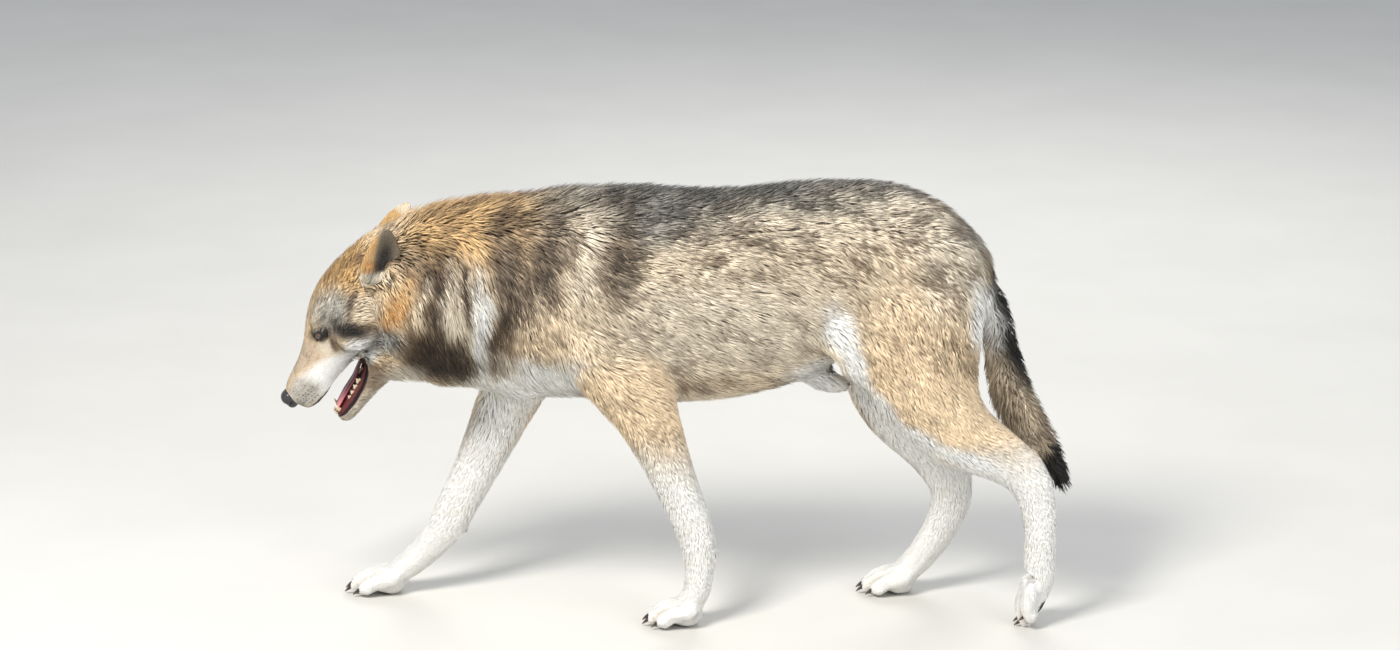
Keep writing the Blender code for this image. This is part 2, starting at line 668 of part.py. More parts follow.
def main():
    clear_scene()
    wolf = new_collection("wolf")
    work = new_collection("construction", hidden=True)
    head = head_matrix()

    legs = leg_forms(work)
    torso = torso_forms(head, work)
    head_skin = skin_of(torso, "head_skin", HEAD_VOXEL, HEAD_SMOOTHING, HEAD_FACES, work)
    paw_skin = skin_of(legs, "paw_skin", PAW_VOXEL, PAW_SMOOTHING, PAW_FACES, work)
    skin = skin_of(torso + legs, "skin", BODY_VOXEL, BODY_SMOOTHING, BODY_FACES, work)

    jaw_cut = Cut(
        head @ Vector((-0.008, 0.0, -0.119)),
        head.to_3x3() @ Vector((0.97, 0.0, -0.22)),
        0.075,
        0.0385,
        0.16,
    )
    face = part_of(head_skin, "face", HEAD_CUT, [], work)
    parts = {
        "head": part_of(face, "head", None, [jaw_cut], work),
        "lower_jaw": part_of(face, "lower_jaw", jaw_cut, [], work),
        "neck": part_of(skin, "neck", NECK_CUT, [HEAD_CUT], work),
        "trunk": part_of(skin, "trunk", None, [NECK_CUT, *LIMB_CUTS.values()], work),
    }
    for limb in ("foreleg_left", "foreleg_right"):
        foot = PAW_CUTS[limb.replace("leg", "paw")]
        parts[limb] = part_of(skin, limb, LIMB_CUTS[limb], [foot], work)
    for side in ("left", "right"):
        thigh, shank, foot = f"hindleg_{side}", f"shank_{side}", PAW_CUTS[f"hindpaw_{side}"]
        parts[f"thigh_{side}"] = part_of(skin, f"thigh_{side}", LIMB_CUTS[thigh], [SHANK_CUTS[shank]], work)
        parts[shank] = part_of(skin, shank, SHANK_CUTS[shank], [foot], work)
    for name, (heel, heading, pitch, length) in PAWS.items():
        foot = part_of(paw_skin, name, PAW_CUTS[name], [], work)
        for claw in claws(name + "_claw", heel, heading, pitch, length, work):
            foot = boolean(foot, claw, "UNION", work)
        parts[name] = flat_footed(foot, work)

    for tooth, lower in teeth(head, work):
        owner = "lower_jaw" if lower else "head"
        parts[owner] = boolean(parts[owner], tooth, "UNION", work)

    nose = ball("nose", (0.134, 0, -0.036), (0.0125, 0.0190, 0.0165), work, head, turn=20)
    eyes = {}
    for name, side in (("eye_left", 1), ("eye_right", -1)):
        x, y, z = EYE_PLACE
        eyes[name] = ball(name, (x, side * y, z), (EYE_RADIUS,) * 3, work, head, segments=14, rings=8)
    tongue = tube("tongue", TONGUE, work, count=6, levels=1)
    tongue.matrix_world = head
    tongue = applied(tongue, work)
    for obj in (nose, *eyes.values()):
        parts["head"] = boolean(parts["head"], swollen(obj, GAP, work), "DIFFERENCE", work)
    parts["lower_jaw"] = boolean(parts["lower_jaw"], swollen(tongue, GAP, work), "DIFFERENCE", work)
    parts["head"] = fitted(parts["head"], [tongue], work)
    parts["lower_jaw"] = largest_body(parts["lower_jaw"])
    parts.update(eyes, nose=nose, tongue=tongue)

    for name, side in (("ear_left", 1), ("ear_right", -1)):
        leaf = ear(name, work)
        leaf.matrix_world = head @ ear_matrix(name, side)
        parts[name] = fitted(applied(leaf, work), [parts["head"], parts["neck"]], work)

    tail = skin_of([tube("tail_form", TAIL, work)], "tail", BODY_VOXEL, 2, TAIL_FACES, work)
    parts["tail"] = fitted(tail, [parts["trunk"], parts["thigh_left"], parts["thigh_right"]], work)

    for helper in set(work.objects) - set(parts.values()):
        bpy.data.objects.remove(helper)
    solids = []
    for name, obj in parts.items():
        finish_name = FINISH.get(name, "cream_coat" if "paw" in name or "shank" in name else "tan_coat")
        solids.append(finish(obj, name, finish_name, wolf))
    bpy.data.collections.remove(work)
    centre_on_floor(solids)


main()
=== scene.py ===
"""The looks of a grey wolf in mid-stride with its head low and its mouth open, life size.

One skin replaces the solids of flesh and lies inside them by the coat's depth.  It has the lids, the lips,
the gums and the pads.  The coat over it is made of closed, pointed tufts that follow the lie of the hair.
Tables of named places say how deep, long and broad the coat is there and which way it lies, and tables of
markings give the colours of the skin and of every tuft.  Eyes, nose, teeth, tongue and claws are pieces of
their own.  Lengths are in metres, and the wolf walks towards -X with its left side towards -Y.
"""

import math
from collections import namedtuple

import bmesh
import bpy
import numpy as np
import openvdb
from mathutils import Matrix, Vector


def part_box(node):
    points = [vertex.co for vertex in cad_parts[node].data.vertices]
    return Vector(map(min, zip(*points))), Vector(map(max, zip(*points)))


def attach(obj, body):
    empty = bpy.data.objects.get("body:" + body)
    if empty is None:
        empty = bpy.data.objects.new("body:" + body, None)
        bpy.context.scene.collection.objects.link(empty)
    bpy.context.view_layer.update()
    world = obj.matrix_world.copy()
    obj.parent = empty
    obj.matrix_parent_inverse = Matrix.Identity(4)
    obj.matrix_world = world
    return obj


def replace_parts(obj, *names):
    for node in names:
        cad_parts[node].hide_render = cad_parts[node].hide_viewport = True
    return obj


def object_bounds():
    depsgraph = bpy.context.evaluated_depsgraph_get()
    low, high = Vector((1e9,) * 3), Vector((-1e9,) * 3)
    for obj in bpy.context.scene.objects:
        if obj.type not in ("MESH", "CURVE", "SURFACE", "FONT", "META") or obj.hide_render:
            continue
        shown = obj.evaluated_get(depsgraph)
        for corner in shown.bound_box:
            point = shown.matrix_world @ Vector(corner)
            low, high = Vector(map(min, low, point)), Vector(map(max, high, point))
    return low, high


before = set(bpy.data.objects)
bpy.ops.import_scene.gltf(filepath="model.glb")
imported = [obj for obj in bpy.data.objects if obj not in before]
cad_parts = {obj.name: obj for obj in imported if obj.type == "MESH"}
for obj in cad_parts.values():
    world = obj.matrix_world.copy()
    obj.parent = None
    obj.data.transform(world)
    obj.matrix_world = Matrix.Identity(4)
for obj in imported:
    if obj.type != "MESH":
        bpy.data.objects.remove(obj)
cad_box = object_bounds()

FINE = 0.003  # spacing of the lattice on which the skin is worked out
COARSE = 2 * FINE
TUFTS = 146_000
PIECE_TUFTS = 19_600  # a tuft has 10 triangles, and a piece stays under 200,000
rng = np.random.default_rng(11)

# ---------------------------------------------------------------- the head's frame

HEAD_PITCH = math.radians(50)  # how far the muzzle points below the horizon
HEAD_ROLL = math.radians(9)  # the crown leans to the left by this
HEAD_YAW = math.radians(1)  # the muzzle turns to the right by this
EYE_PLACE = Vector((0.000, 0.0393, 0.0070))  # forward, to the left, up
EYE_RADIUS = 0.0118
NOSE_PLACE = np.array([0.1335, 0.0, -0.0365])
NOSE_RADII = np.array([0.0132, 0.0180, 0.0165])
DRAWN_ORIGIN = Vector((-0.629, 0.0, 0.504))  # where the tables below have the head's origin


def middle(node):
    """The middle of a node's box."""
    low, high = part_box(node)
    return (low + high) / 2


def head_frame():
    """The head's frame: +X is the muzzle, +Y the left, +Z the crown, and the origin lies between the eyes."""
    turn = (
        Matrix.Rotation(-HEAD_YAW, 3, "Z")
        @ Matrix.Rotation(math.pi, 3, "Z")
        @ Matrix.Rotation(HEAD_PITCH, 3, "Y")
        @ Matrix.Rotation(-HEAD_ROLL, 3, "X")
    )
    between = (middle("eye_left") + middle("eye_right")) / 2
    return turn, between - turn @ Vector((0, 0, EYE_PLACE.z))


head_turn, head_origin = head_frame()
HEAD_TURN = np.array(head_turn)
HEAD_ORIGIN = np.array(head_origin)
SHIFT = np.array(head_origin - DRAWN_ORIGIN)  # from the places in the tables to the world


def to_head(points):
    """Points of the world in the head's frame."""
    return (points - HEAD_ORIGIN) @ HEAD_TURN


def from_head(points):
    """Points of the head's frame in the world."""
    return np.asarray(points, float) @ HEAD_TURN.T + HEAD_ORIGIN


# ---------------------------------------------------------------- small mathematics


def unit(vectors):
    """Vectors of length one."""
    return vectors / np.maximum(np.linalg.norm(vectors, axis=-1, keepdims=True), 1e-12)


def ramp(low, high, x):
    """0 below low, 1 above high, and 3t^2 - 2t^3 between."""
    t = np.clip((x - low) / (high - low), 0.0, 1.0)
    return t * t * (3 - 2 * t)


def blend(a, b, share):
    """a where share is 0 and b where it is 1."""
    return a + (b - a) * share


NOISE_TABLE = np.random.default_rng(5).uniform(-1, 1, (32, 32, 32)).astype(np.float32)


def noise(points, size, seed=0):
    """Smooth random values from -1 to 1 that change over about size: a lattice of random numbers,
    blended by 3t^2 - 2t^3 along each axis."""
    p = points / size + np.array([7.3, 3.1, 5.7]) * (seed + 1)
    base = np.floor(p).astype(int)
    t = p - base
    t = t * t * (3 - 2 * t)
    total = 0.0
    for corner in range(8):
        step = np.array([corner >> 2 & 1, corner >> 1 & 1, corner & 1])
        cell = (base + step) % 32
        weight = np.prod(np.where(step, t, 1 - t), axis=-1)
        total = total + weight * NOISE_TABLE[cell[..., 0], cell[..., 1], cell[..., 2]]
    return total


class Field:
    """Numbers on a lattice, read anywhere between its points by trilinear interpolation."""

    def __init__(self, values, low, spacing):
        self.values, self.low, self.spacing = values, np.asarray(low), spacing

    def at(self, points):
        p = np.asarray(points) / self.spacing - self.low
        limit = np.array(self.values.shape) - 2
        base = np.clip(np.floor(p).astype(int), 0, limit)
        t = np.clip(p - base, 0.0, 1.0)
        total = 0.0
        for corner in range(8):
            step = np.array([corner >> 2 & 1, corner >> 1 & 1, corner & 1])
            i, j, k = (base + step).T
            total = total + np.prod(np.where(step, t, 1 - t), axis=-1) * self.values[i, j, k]
        return total

    def slope(self, points):
        """The gradient, from central differences."""
        h = 0.6 * self.spacing
        sides = np.eye(3) * h
        return np.stack([self.at(points + s) - self.at(points - s) for s in sides], -1) / (2 * h)


def finer(values):
    """Values on a lattice of half the spacing, from the mean of neighbours along each axis."""
    for axis in range(3):
        a = np.moveaxis(values, axis, 0)
        out = np.empty((2 * len(a) - 1, *a.shape[1:]), np.float32)
        out[::2] = a
        out[1::2] = (a[1:] + a[:-1]) / 2
        values = np.moveaxis(out, 0, axis)
    return values


def blurred(values, passes):
    """Each value averaged with its neighbours along each axis, weights 1 2 1, passes times."""
    values = values.copy()
    for _ in range(passes):
        for axis in range(3):
            a = np.moveaxis(values, axis, 0)
            a[1:-1] = (a[2:] + 2 * a[1:-1] + a[:-2]) / 4
    return values


# ---------------------------------------------------------------- the coat's depth and lie

# A place on the body: where it is, how far it counts, then in millimetres the coat's depth there and the
# length and width of its tufts, and last the way the hair lies.  A place off the midline is on both sides.
Place = namedtuple("Place", "x y z reach depth length width lie")

BODY_PLACES = [
    Place(-0.520, 0.000, 0.660, 0.055, 24, 40, 2.6, (1.0, 0.0, 0.45)),  # nape
    Place(-0.430, 0.000, 0.725, 0.045, 32, 56, 3.2, (1.0, 0.0, 0.20)),  # top of the neck
    Place(-0.330, 0.000, 0.755, 0.060, 34, 58, 3.2, (1.0, 0.0, 0.05)),  # withers
    Place(-0.200, 0.000, 0.765, 0.070, 32, 54, 3.2, (1.0, 0.0, -0.05)),
    Place(-0.050, 0.000, 0.765, 0.080, 26, 48, 3.2, (1.0, 0.0, -0.08)),  # back
    Place(0.120, 0.000, 0.765, 0.080, 25, 46, 3.2, (1.0, 0.0, -0.05)),
    Place(0.300, 0.000, 0.765, 0.070, 23, 44, 3.2, (1.0, 0.0, -0.10)),  # croup
    Place(0.430, 0.000, 0.730, 0.060, 22, 44, 3.2, (0.8, 0.0, -0.60)),
    Place(0.500, 0.000, 0.640, 0.050, 20, 40, 3.0, (0.3, 0.0, -1.00)),  # root of the tail
    Place(-0.480, 0.100, 0.590, 0.050, 24, 44, 2.8, (0.5, 0.30, -0.85)),  # side of the neck
    Place(-0.400, 0.110, 0.620, 0.055, 28, 54, 3.2, (0.5, 0.12, -0.95)),
    Place(-0.400, 0.105, 0.500, 0.055, 28, 56, 3.2, (0.2, 0.05, -1.00)),
    Place(-0.300, 0.125, 0.640, 0.060, 26, 52, 3.2, (0.6, 0.05, -0.85)),
    Place(-0.300, 0.120, 0.520, 0.060, 20, 46, 3.0, (0.4, 0.00, -1.00)),  # shoulder
    Place(-0.200, 0.130, 0.560, 0.060, 19, 42, 3.0, (0.6, 0.00, -0.90)),
    Place(-0.180, 0.120, 0.660, 0.070, 24, 46, 3.0, (0.8, 0.00, -0.65)),
    Place(-0.070, 0.135, 0.600, 0.080, 21, 44, 3.0, (1.0, 0.00, -0.35)),  # ribs
    Place(-0.060, 0.125, 0.490, 0.070, 19, 42, 3.0, (1.0, 0.00, -0.30)),
    Place(0.090, 0.125, 0.620, 0.080, 21, 44, 3.0, (1.0, 0.00, -0.30)),
    Place(0.100, 0.120, 0.500, 0.080, 19, 42, 3.0, (1.0, 0.00, -0.30)),  # flank
    Place(0.240, 0.100, 0.560, 0.065, 17, 40, 3.0, (1.0, 0.00, -0.45)),
    Place(0.240, 0.080, 0.460, 0.050, 9, 36, 2.8, (0.8, 0.00, -0.60)),  # flank fold
    Place(0.360, 0.105, 0.620, 0.070, 18, 38, 3.0, (0.8, 0.00, -0.75)),  # hip
    Place(0.370, 0.120, 0.500, 0.070, 13, 32, 2.8, (0.35, 0.00, -1.00)),  # thigh
    Place(0.470, 0.090, 0.520, 0.055, 16, 42, 2.8, (0.25, 0.00, -1.00)),  # buttock
    Place(-0.480, 0.000, 0.430, 0.050, 24, 46, 3.0, (0.9, 0.00, -0.60)),  # throat and ruff
    Place(-0.400, 0.000, 0.410, 0.050, 26, 50, 3.2, (0.8, 0.00, -0.75)),
    Place(-0.320, 0.000, 0.400, 0.050, 20, 44, 3.0, (0.8, 0.00, -0.65)),  # breast
    Place(-0.200, 0.000, 0.380, 0.060, 16, 38, 3.0, (1.0, 0.00, -0.30)),
    Place(-0.060, 0.000, 0.375, 0.070, 16, 38, 3.0, (1.0, 0.00, -0.15)),  # belly
    Place(0.100, 0.000, 0.390, 0.070, 16, 38, 3.0, (1.0, 0.00, -0.15)),
    Place(0.222, 0.000, 0.430, 0.042, 4, 30, 2.2, (0.7, 0.00, -0.70)),
    Place(0.262, 0.000, 0.445, 0.036, 4, 32, 2.4, (0.6, 0.00, -0.80)),
    Place(0.262, 0.050, 0.450, 0.030, 5, 34, 2.4, (0.6, 0.00, -0.80)),
    Place(0.285, 0.095, 0.430, 0.036, 4, 28, 2.4, (0.5, 0.00, -0.90)),
    Place(0.350, 0.000, 0.460, 0.050, 7, 28, 2.4, (0.6, 0.00, -0.80)),  # groin
]
HEAD_PLACES = [
    Place(0.125, 0.000, -0.020, 0.020, 1.0, 5, 0.9, (-1.0, 0.0, 0.15)),  # behind the nose
    Place(0.085, 0.000, -0.008, 0.025, 1.4, 7, 1.0, (-1.0, 0.0, 0.05)),  # bridge
    Place(0.045, 0.000, 0.004, 0.025, 1.8, 9, 1.1, (-1.0, 0.0, 0.30)),
    Place(0.010, 0.000, 0.026, 0.022, 2.2, 10, 1.2, (-1.0, 0.0, 0.45)),  # stop
    Place(-0.040, 0.000, 0.050, 0.030, 3.5, 13, 1.3, (-1.0, 0.0, 0.25)),  # forehead
    Place(-0.090, 0.000, 0.062, 0.030, 6.0, 18, 1.6, (-1.0, 0.0, 0.05)),
    Place(-0.150, 0.000, 0.062, 0.035, 12, 28, 2.2, (-1.0, 0.0, -0.10)),  # crown
    Place(0.120, 0.022, -0.055, 0.018, 1.0, 5, 0.9, (-1.0, 0.1, -0.20)),  # upper lip
    Place(0.095, 0.030, -0.040, 0.020, 1.3, 6, 0.9, (-1.0, 0.1, -0.20)),
    Place(0.060, 0.034, -0.035, 0.022, 1.6, 8, 1.0, (-1.0, 0.1, -0.15)),  # side of the muzzle
    Place(0.060, 0.030, -0.065, 0.016, 1.4, 7, 1.0, (-1.0, 0.1, -0.30)),
    Place(0.030, 0.036, -0.012, 0.018, 1.8, 8, 1.0, (-1.0, 0.3, 0.05)),  # before the eye
    Place(0.024, 0.040, -0.050, 0.022, 2.2, 10, 1.1, (-1.0, 0.2, -0.25)),
    Place(-0.008, 0.036, 0.030, 0.016, 2.0, 9, 1.0, (-1.0, 0.3, 0.45)),  # brow
    Place(-0.010, 0.048, -0.018, 0.016, 2.0, 9, 1.0, (-1.0, 0.3, -0.25)),  # under the eye
    Place(-0.045, 0.055, 0.012, 0.022, 3.0, 12, 1.2, (-1.0, 0.3, 0.00)),  # temple
    Place(-0.055, 0.066, -0.035, 0.028, 4.5, 16, 1.4, (-1.0, 0.2, -0.25)),  # cheek
    Place(-0.035, 0.055, -0.085, 0.026, 4.5, 16, 1.4, (-1.0, 0.1, -0.35)),
    Place(-0.090, 0.060, 0.020, 0.026, 6.0, 18, 1.6, (-1.0, 0.2, 0.00)),
    Place(-0.115, 0.078, -0.050, 0.030, 12, 32, 2.2, (0.30, 0.45, -0.80)),  # cheek ruff
    Place(-0.100, 0.065, -0.110, 0.030, 13, 34, 2.2, (-0.10, 0.20, -0.85)),
    Place(-0.180, 0.080, -0.020, 0.035, 16, 38, 2.4, (0.05, 0.30, -0.85)),
    Place(0.100, 0.000, -0.140, 0.018, 1.4, 7, 1.0, (-1.0, 0.0, -0.30)),  # chin
    Place(0.100, 0.016, -0.128, 0.014, 1.2, 6, 1.0, (-1.0, 0.1, -0.20)),
    Place(0.055, 0.020, -0.130, 0.020, 2.2, 10, 1.1, (-1.0, 0.1, -0.30)),  # lower jaw
    Place(0.010, 0.028, -0.140, 0.022, 3.5, 12, 1.3, (-1.0, 0.1, -0.35)),
    Place(0.000, 0.036, -0.086, 0.014, 1.2, 5, 0.9, (-1.0, 0.1, -0.25)),  # corner of the mouth
    Place(0.016, 0.030, -0.114, 0.014, 1.3, 6, 0.9, (-1.0, 0.1, -0.45)),  # lower lip
    Place(0.050, 0.024, -0.126, 0.013, 1.2, 5, 0.9, (-1.0, 0.1, -0.45)),
    Place(-0.050, 0.030, -0.145, 0.030, 12, 28, 2.0, (-1.0, 0.0, -0.50)),  # throat
    Place(0.060, 0.000, -0.090, 0.018, 0.8, 5, 0.9, (-1.0, 0.0, 0.00)),  # inside the mouth
    Place(0.095, 0.000, -0.090, 0.018, 0.8, 5, 0.9, (-1.0, 0.0, 0.00)),
]
# The lines of the legs and the tail, from the body outwards: x, y, z, reach, depth, length, width.
LIMBS = {
    "foreleg_left": [
        (-0.112, -0.100, 0.440, 0.050, 12, 30, 2.8),
        (-0.076, -0.091, 0.380, 0.042, 9, 26, 2.4),
        (-0.056, -0.090, 0.330, 0.040, 4.3, 21, 1.7),
        (-0.037, -0.089, 0.285, 0.040, 3.4, 17, 1.6),
        (-0.008, -0.087, 0.217, 0.036, 3.1, 15, 1.5),
        (0.013, -0.086, 0.155, 0.034, 3.1, 15, 1.5),
        (0.018, -0.086, 0.105, 0.030, 2.8, 13, 1.4),
        (0.013, -0.087, 0.062, 0.024, 1.9, 11, 1.3),
        (-0.010, -0.088, 0.038, 0.022, 1.4, 9, 1.2),
        (-0.060, -0.088, 0.012, 0.030, 1.0, 7, 1.1),
    ],
    "foreleg_right": [
        (-0.288, 0.095, 0.420, 0.050, 12, 30, 2.8),
        (-0.319, 0.091, 0.350, 0.042, 8, 24, 2.3),
        (-0.345, 0.090, 0.290, 0.040, 3.7, 19, 1.6),
        (-0.372, 0.088, 0.232, 0.038, 3.1, 16, 1.5),
        (-0.398, 0.087, 0.182, 0.036, 3.1, 15, 1.5),
        (-0.423, 0.086, 0.135, 0.032, 3.1, 14, 1.5),
        (-0.450, 0.086, 0.096, 0.028, 2.5, 12, 1.4),
        (-0.483, 0.086, 0.062, 0.024, 1.9, 10, 1.3),
        (-0.515, 0.086, 0.040, 0.022, 1.4, 9, 1.2),
        (-0.570, 0.086, 0.014, 0.030, 1.0, 7, 1.1),
    ],
    "hindleg_left": [
        (0.412, -0.098, 0.400, 0.050, 10, 28, 2.6),
        (0.450, -0.090, 0.350, 0.044, 9, 25, 2.4),
        (0.496, -0.088, 0.320, 0.040, 4.7, 22, 1.8),
        (0.540, -0.087, 0.296, 0.038, 4.0, 19, 1.6),
        (0.580, -0.086, 0.262, 0.034, 3.4, 17, 1.6),
        (0.597, -0.086, 0.212, 0.034, 3.0, 14, 1.5),
        (0.601, -0.086, 0.155, 0.032, 2.8, 13, 1.4),
        (0.600, -0.087, 0.098, 0.030, 2.5, 12, 1.4),
        (0.596, -0.087, 0.060, 0.022, 1.5, 9, 1.2),
        (0.580, -0.087, 0.020, 0.026, 1.1, 8, 1.1),
    ],
    "hindleg_right": [
        (0.335, 0.098, 0.395, 0.048, 10, 28, 2.6),
        (0.358, 0.090, 0.336, 0.042, 5.0, 24, 1.9),
        (0.390, 0.088, 0.297, 0.038, 4.3, 21, 1.7),
        (0.423, 0.086, 0.258, 0.036, 3.7, 18, 1.6),
        (0.454, 0.086, 0.213, 0.034, 3.1, 15, 1.5),
        (0.459, 0.086, 0.168, 0.032, 3.0, 14, 1.5),
        (0.441, 0.086, 0.122, 0.030, 2.8, 13, 1.4),
        (0.415, 0.087, 0.080, 0.026, 2.1, 11, 1.3),
        (0.385, 0.087, 0.050, 0.022, 1.4, 9, 1.2),
        (0.335, 0.087, 0.014, 0.030, 1.0, 7, 1.1),
    ],
    "tail": [
        (0.506, 0.000, 0.562, 0.035, 18, 44, 3.0),
        (0.527, 0.003, 0.492, 0.035, 22, 50, 3.2),
        (0.538, 0.008, 0.425, 0.036, 26, 56, 3.3),
        (0.560, 0.013, 0.360, 0.038, 28, 60, 3.4),
        (0.600, 0.018, 0.298, 0.036, 27, 58, 3.4),
        (0.633, 0.022, 0.242, 0.030, 16, 50, 3.2),
        (0.659, 0.024, 0.186, 0.026, 4, 46, 3.0),
    ],
}


def place_arrays():
    """Every place of the coat on both sides, in the world: points, reaches, and depth, length, width, lie."""
    points, reaches, values = [], [], []

    def add(point, reach, sizes, lie):
        points.append(point)
        reaches.append(reach)
        values.append([*(0.001 * np.array(sizes)), *unit(np.array(lie, float))])

    for places, is_head in ((BODY_PLACES, False), (HEAD_PLACES, True)):
        for p in places:
            for side in (1, -1) if p.y else (1,):
                point = np.array([p.x, side * p.y, p.z])
                lie = np.array([p.lie[0], side * p.lie[1], p.lie[2]])
                if is_head:
                    point, lie = from_head(point), HEAD_TURN @ lie
                else:
                    point = point + SHIFT
                add(point, p.reach, (p.depth, p.length, p.width), lie)
    for line in LIMBS.values():
        for i, (x, y, z, reach, *sizes) in enumerate(line):
            ahead = np.array(line[min(i + 1, len(line) - 1)][:3])
            behind = np.array(line[max(i - 1, 0)][:3])
            add(np.array([x, y, z]) + SHIFT, reach, sizes, ahead - behind)
    return np.array(points), np.array(reaches), np.array(values)


PLACE_POINTS, PLACE_REACHES, PLACE_VALUES = place_arrays()


def coat_at(points, columns=slice(None)):
    """Depth, length, width and lie of the coat at points: the places' values, each weighted by
    exp(-distance^2 / (2 reach^2)) and divided by the sum of the weights."""
    total = np.zeros((len(points), len(PLACE_VALUES[0, columns])), np.float32)
    weights = np.full(len(points), 1e-12, np.float32)
    points = points.astype(np.float32)
    for place, reach, value in zip(PLACE_POINTS.astype(np.float32), PLACE_REACHES, PLACE_VALUES[:, columns]):
        gap = points - place
        weight = np.exp(np.einsum("ij,ij->i", gap, gap) / (-2 * reach * reach))
        weights += weight
        total += weight[:, None] * value.astype(np.float32)
    return total / weights[:, None]


# ---------------------------------------------------------------- the flesh as a field


def mesh_arrays(objects):
    """The points and triangles of several mesh objects."""
    points, triangles, count = [], [], 0
    for obj in objects:
        mesh = obj.data
        mesh.calc_loop_triangles()
        co = np.empty(len(mesh.vertices) * 3, np.float32)
        mesh.vertices.foreach_get("co", co)
        corners = np.empty(len(mesh.loop_triangles) * 3, np.int32)
        mesh.loop_triangles.foreach_get("vertices", corners)
        points.append(co.reshape(-1, 3))
        triangles.append(corners.reshape(-1, 3) + count)
        count += len(co) // 3
    return np.concatenate(points), np.concatenate(triangles)


def distance_grid(spacing, half_width, points, **faces):
    """A level set of a closed surface, true to half_width spacings from it."""
    return openvdb.FloatGrid.createLevelSetFromPolygons(
        points, transform=openvdb.createLinearTransform(voxelSize=spacing), halfWidth=half_width, **faces
    )


def lattice(grid, low, shape):
    """The values of a level set on a box of the lattice."""
    values = np.zeros(shape, np.float32)
    grid.copyToArray(values, ijk=tuple(int(i) for i in low))
    return values


EARS = ["ear_left", "ear_right"]
FLESH = [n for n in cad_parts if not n.startswith(("eye", "nose", "tongue"))]
UNDER_SKIN = [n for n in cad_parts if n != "tongue" and n not in EARS]  # it passes under nose and eyes
EAR_ROOT = np.array([-0.137, 0.067, -0.006])  # in the head's frame, on the left
EAR_COAT = 0.0008  # how far their skin lies inside them
EAR_GROWN = 0.0012  # the thin ears are thickened by this, so that the lattice holds them
BRIDGED = 0.0008  # the outside is taken this far out, which closes the thin cuts between the parts
COARSE_BAND = 0.052  # how far from the outline the coarse lattice is true
DEPTH_BEYOND = 0.02  # the coat's depth farther away than that


def flesh_fields():
    """Signed distances: to the coat's outline on the coarse lattice and on the fine one, and to the ears on
    the fine one.  Last comes the coarse lattice's low corner."""
    points, triangles = mesh_arrays([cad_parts[n] for n in UNDER_SKIN])
    soup = distance_grid(FINE, 3.0, points, triangles=triangles)
    outline, quads = soup.convertToQuads(BRIDGED)
    near = distance_grid(FINE, 5.0, outline, quads=quads)
    far = distance_grid(COARSE, 9.0, outline, quads=quads)
    low = np.floor(np.array(cad_box[0]) / COARSE).astype(int) - 3
    high = np.ceil(np.array(cad_box[1]) / COARSE).astype(int) + 3
    shape = high - low + 1
    coarse = lattice(far, low, shape) + BRIDGED
    fine = lattice(near, 2 * low, 2 * shape - 1) + BRIDGED
    points, triangles = mesh_arrays([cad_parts[n] for n in EARS])
    ears = lattice(distance_grid(FINE, 8.0, points, triangles=triangles), 2 * low, 2 * shape - 1)
    ears = np.where(ears == 0, 8 * FINE, ears) - EAR_GROWN
    return coarse, fine, ears, low


def lattice_points(low, shape, spacing):
    """The places of a lattice's points, one row each."""
    axes = [(low[i] + np.arange(shape[i])) * spacing for i in range(3)]
    return np.stack(np.meshgrid(*axes, indexing="ij"), -1).reshape(-1, 3)


def detail_share(points):
    """1 on the face, ears and paws, where the skin follows the outline closely, and 0 on the body."""
    q = to_head(points)
    face = ramp(-0.19, -0.13, q[:, 0]) * ramp(0.20, 0.16, np.linalg.norm(q - [0, 0, -0.04], axis=1))
    return np.maximum(face, ramp(0.13, 0.09, points[:, 2]))


# Where each foot stands: its heel, its pitch in degrees and its length.
PAWS = {
    "forepaw_left": ((0.034, -0.088, 0.0), 0, 0.104),
    "forepaw_right": ((-0.487, 0.086, 0.0), 0, 0.108),
    "hindpaw_left": ((0.622, -0.087, 0.079), 68, 0.088),
    "hindpaw_right": ((0.408, 0.087, 0.0), 0, 0.104),
}
# Toes, and the grooves between them: how far to the side, and how far behind the foremost, in toe radii.
TOES = ((-2.20, 1.15), (-0.80, 0.0), (0.80, 0.0), (2.20, 1.15))
GROOVES = ((-1.48, 0.6), (0.0, 0.0), (1.48, 0.6))
TOE_RADIUS = 0.0135
GROOVE_DEPTH = 0.0042
GROOVE_WIDTH = 0.0032
GROOVE_BAND = 0.014  # how far from the outline a groove is cut
PAW_HEIGHT = 0.13
WRIST_PADS = ((0.046, -0.086, 0.127), (-0.391, 0.086, 0.114))  # the stopper pads


def paw_frame(name):
    """A foot's frame, heel first: its axes as columns, and its heel in the world."""
    heel, pitch, _ = PAWS[name]
    turn = Matrix.Rotation(math.pi, 3, "Z") @ Matrix.Rotation(math.radians(pitch), 3, "Y")
    return np.array(turn), np.array(heel) + SHIFT


def toe_grooves(points):
    """1 between neighbouring toes: exp(-(away / width)^2) across each groove, faded out at both its ends."""
    share = np.zeros(len(points))
    r = TOE_RADIUS
    for name, (_, _, length) in PAWS.items():
        turn, heel = paw_frame(name)
        ahead, side, up = ((points - heel) @ turn).T
        for out, short in GROOVES:
            start, end = length - (short + 3.4) * r, length - (short - 0.6) * r
            along = ramp(start, start + 1.6 * r, ahead) * ramp(end + r, end, ahead)
            groove = np.exp(-(((side - out * r) / GROOVE_WIDTH) ** 2)) * ramp(0.003, 0.009, up) * (up < 0.05)
            share = np.maximum(share, along * groove)
    return share


def with_toes(outline, low):
    """The fine lattice of the outline with a groove between neighbouring toes."""
    top = int(PAW_HEIGHT / FINE) - low[2]
    near = np.argwhere(np.abs(outline[:, :, :top]) < GROOVE_BAND)
    outline[tuple(near.T)] += GROOVE_DEPTH * toe_grooves((near + low) * FINE)
    return outline


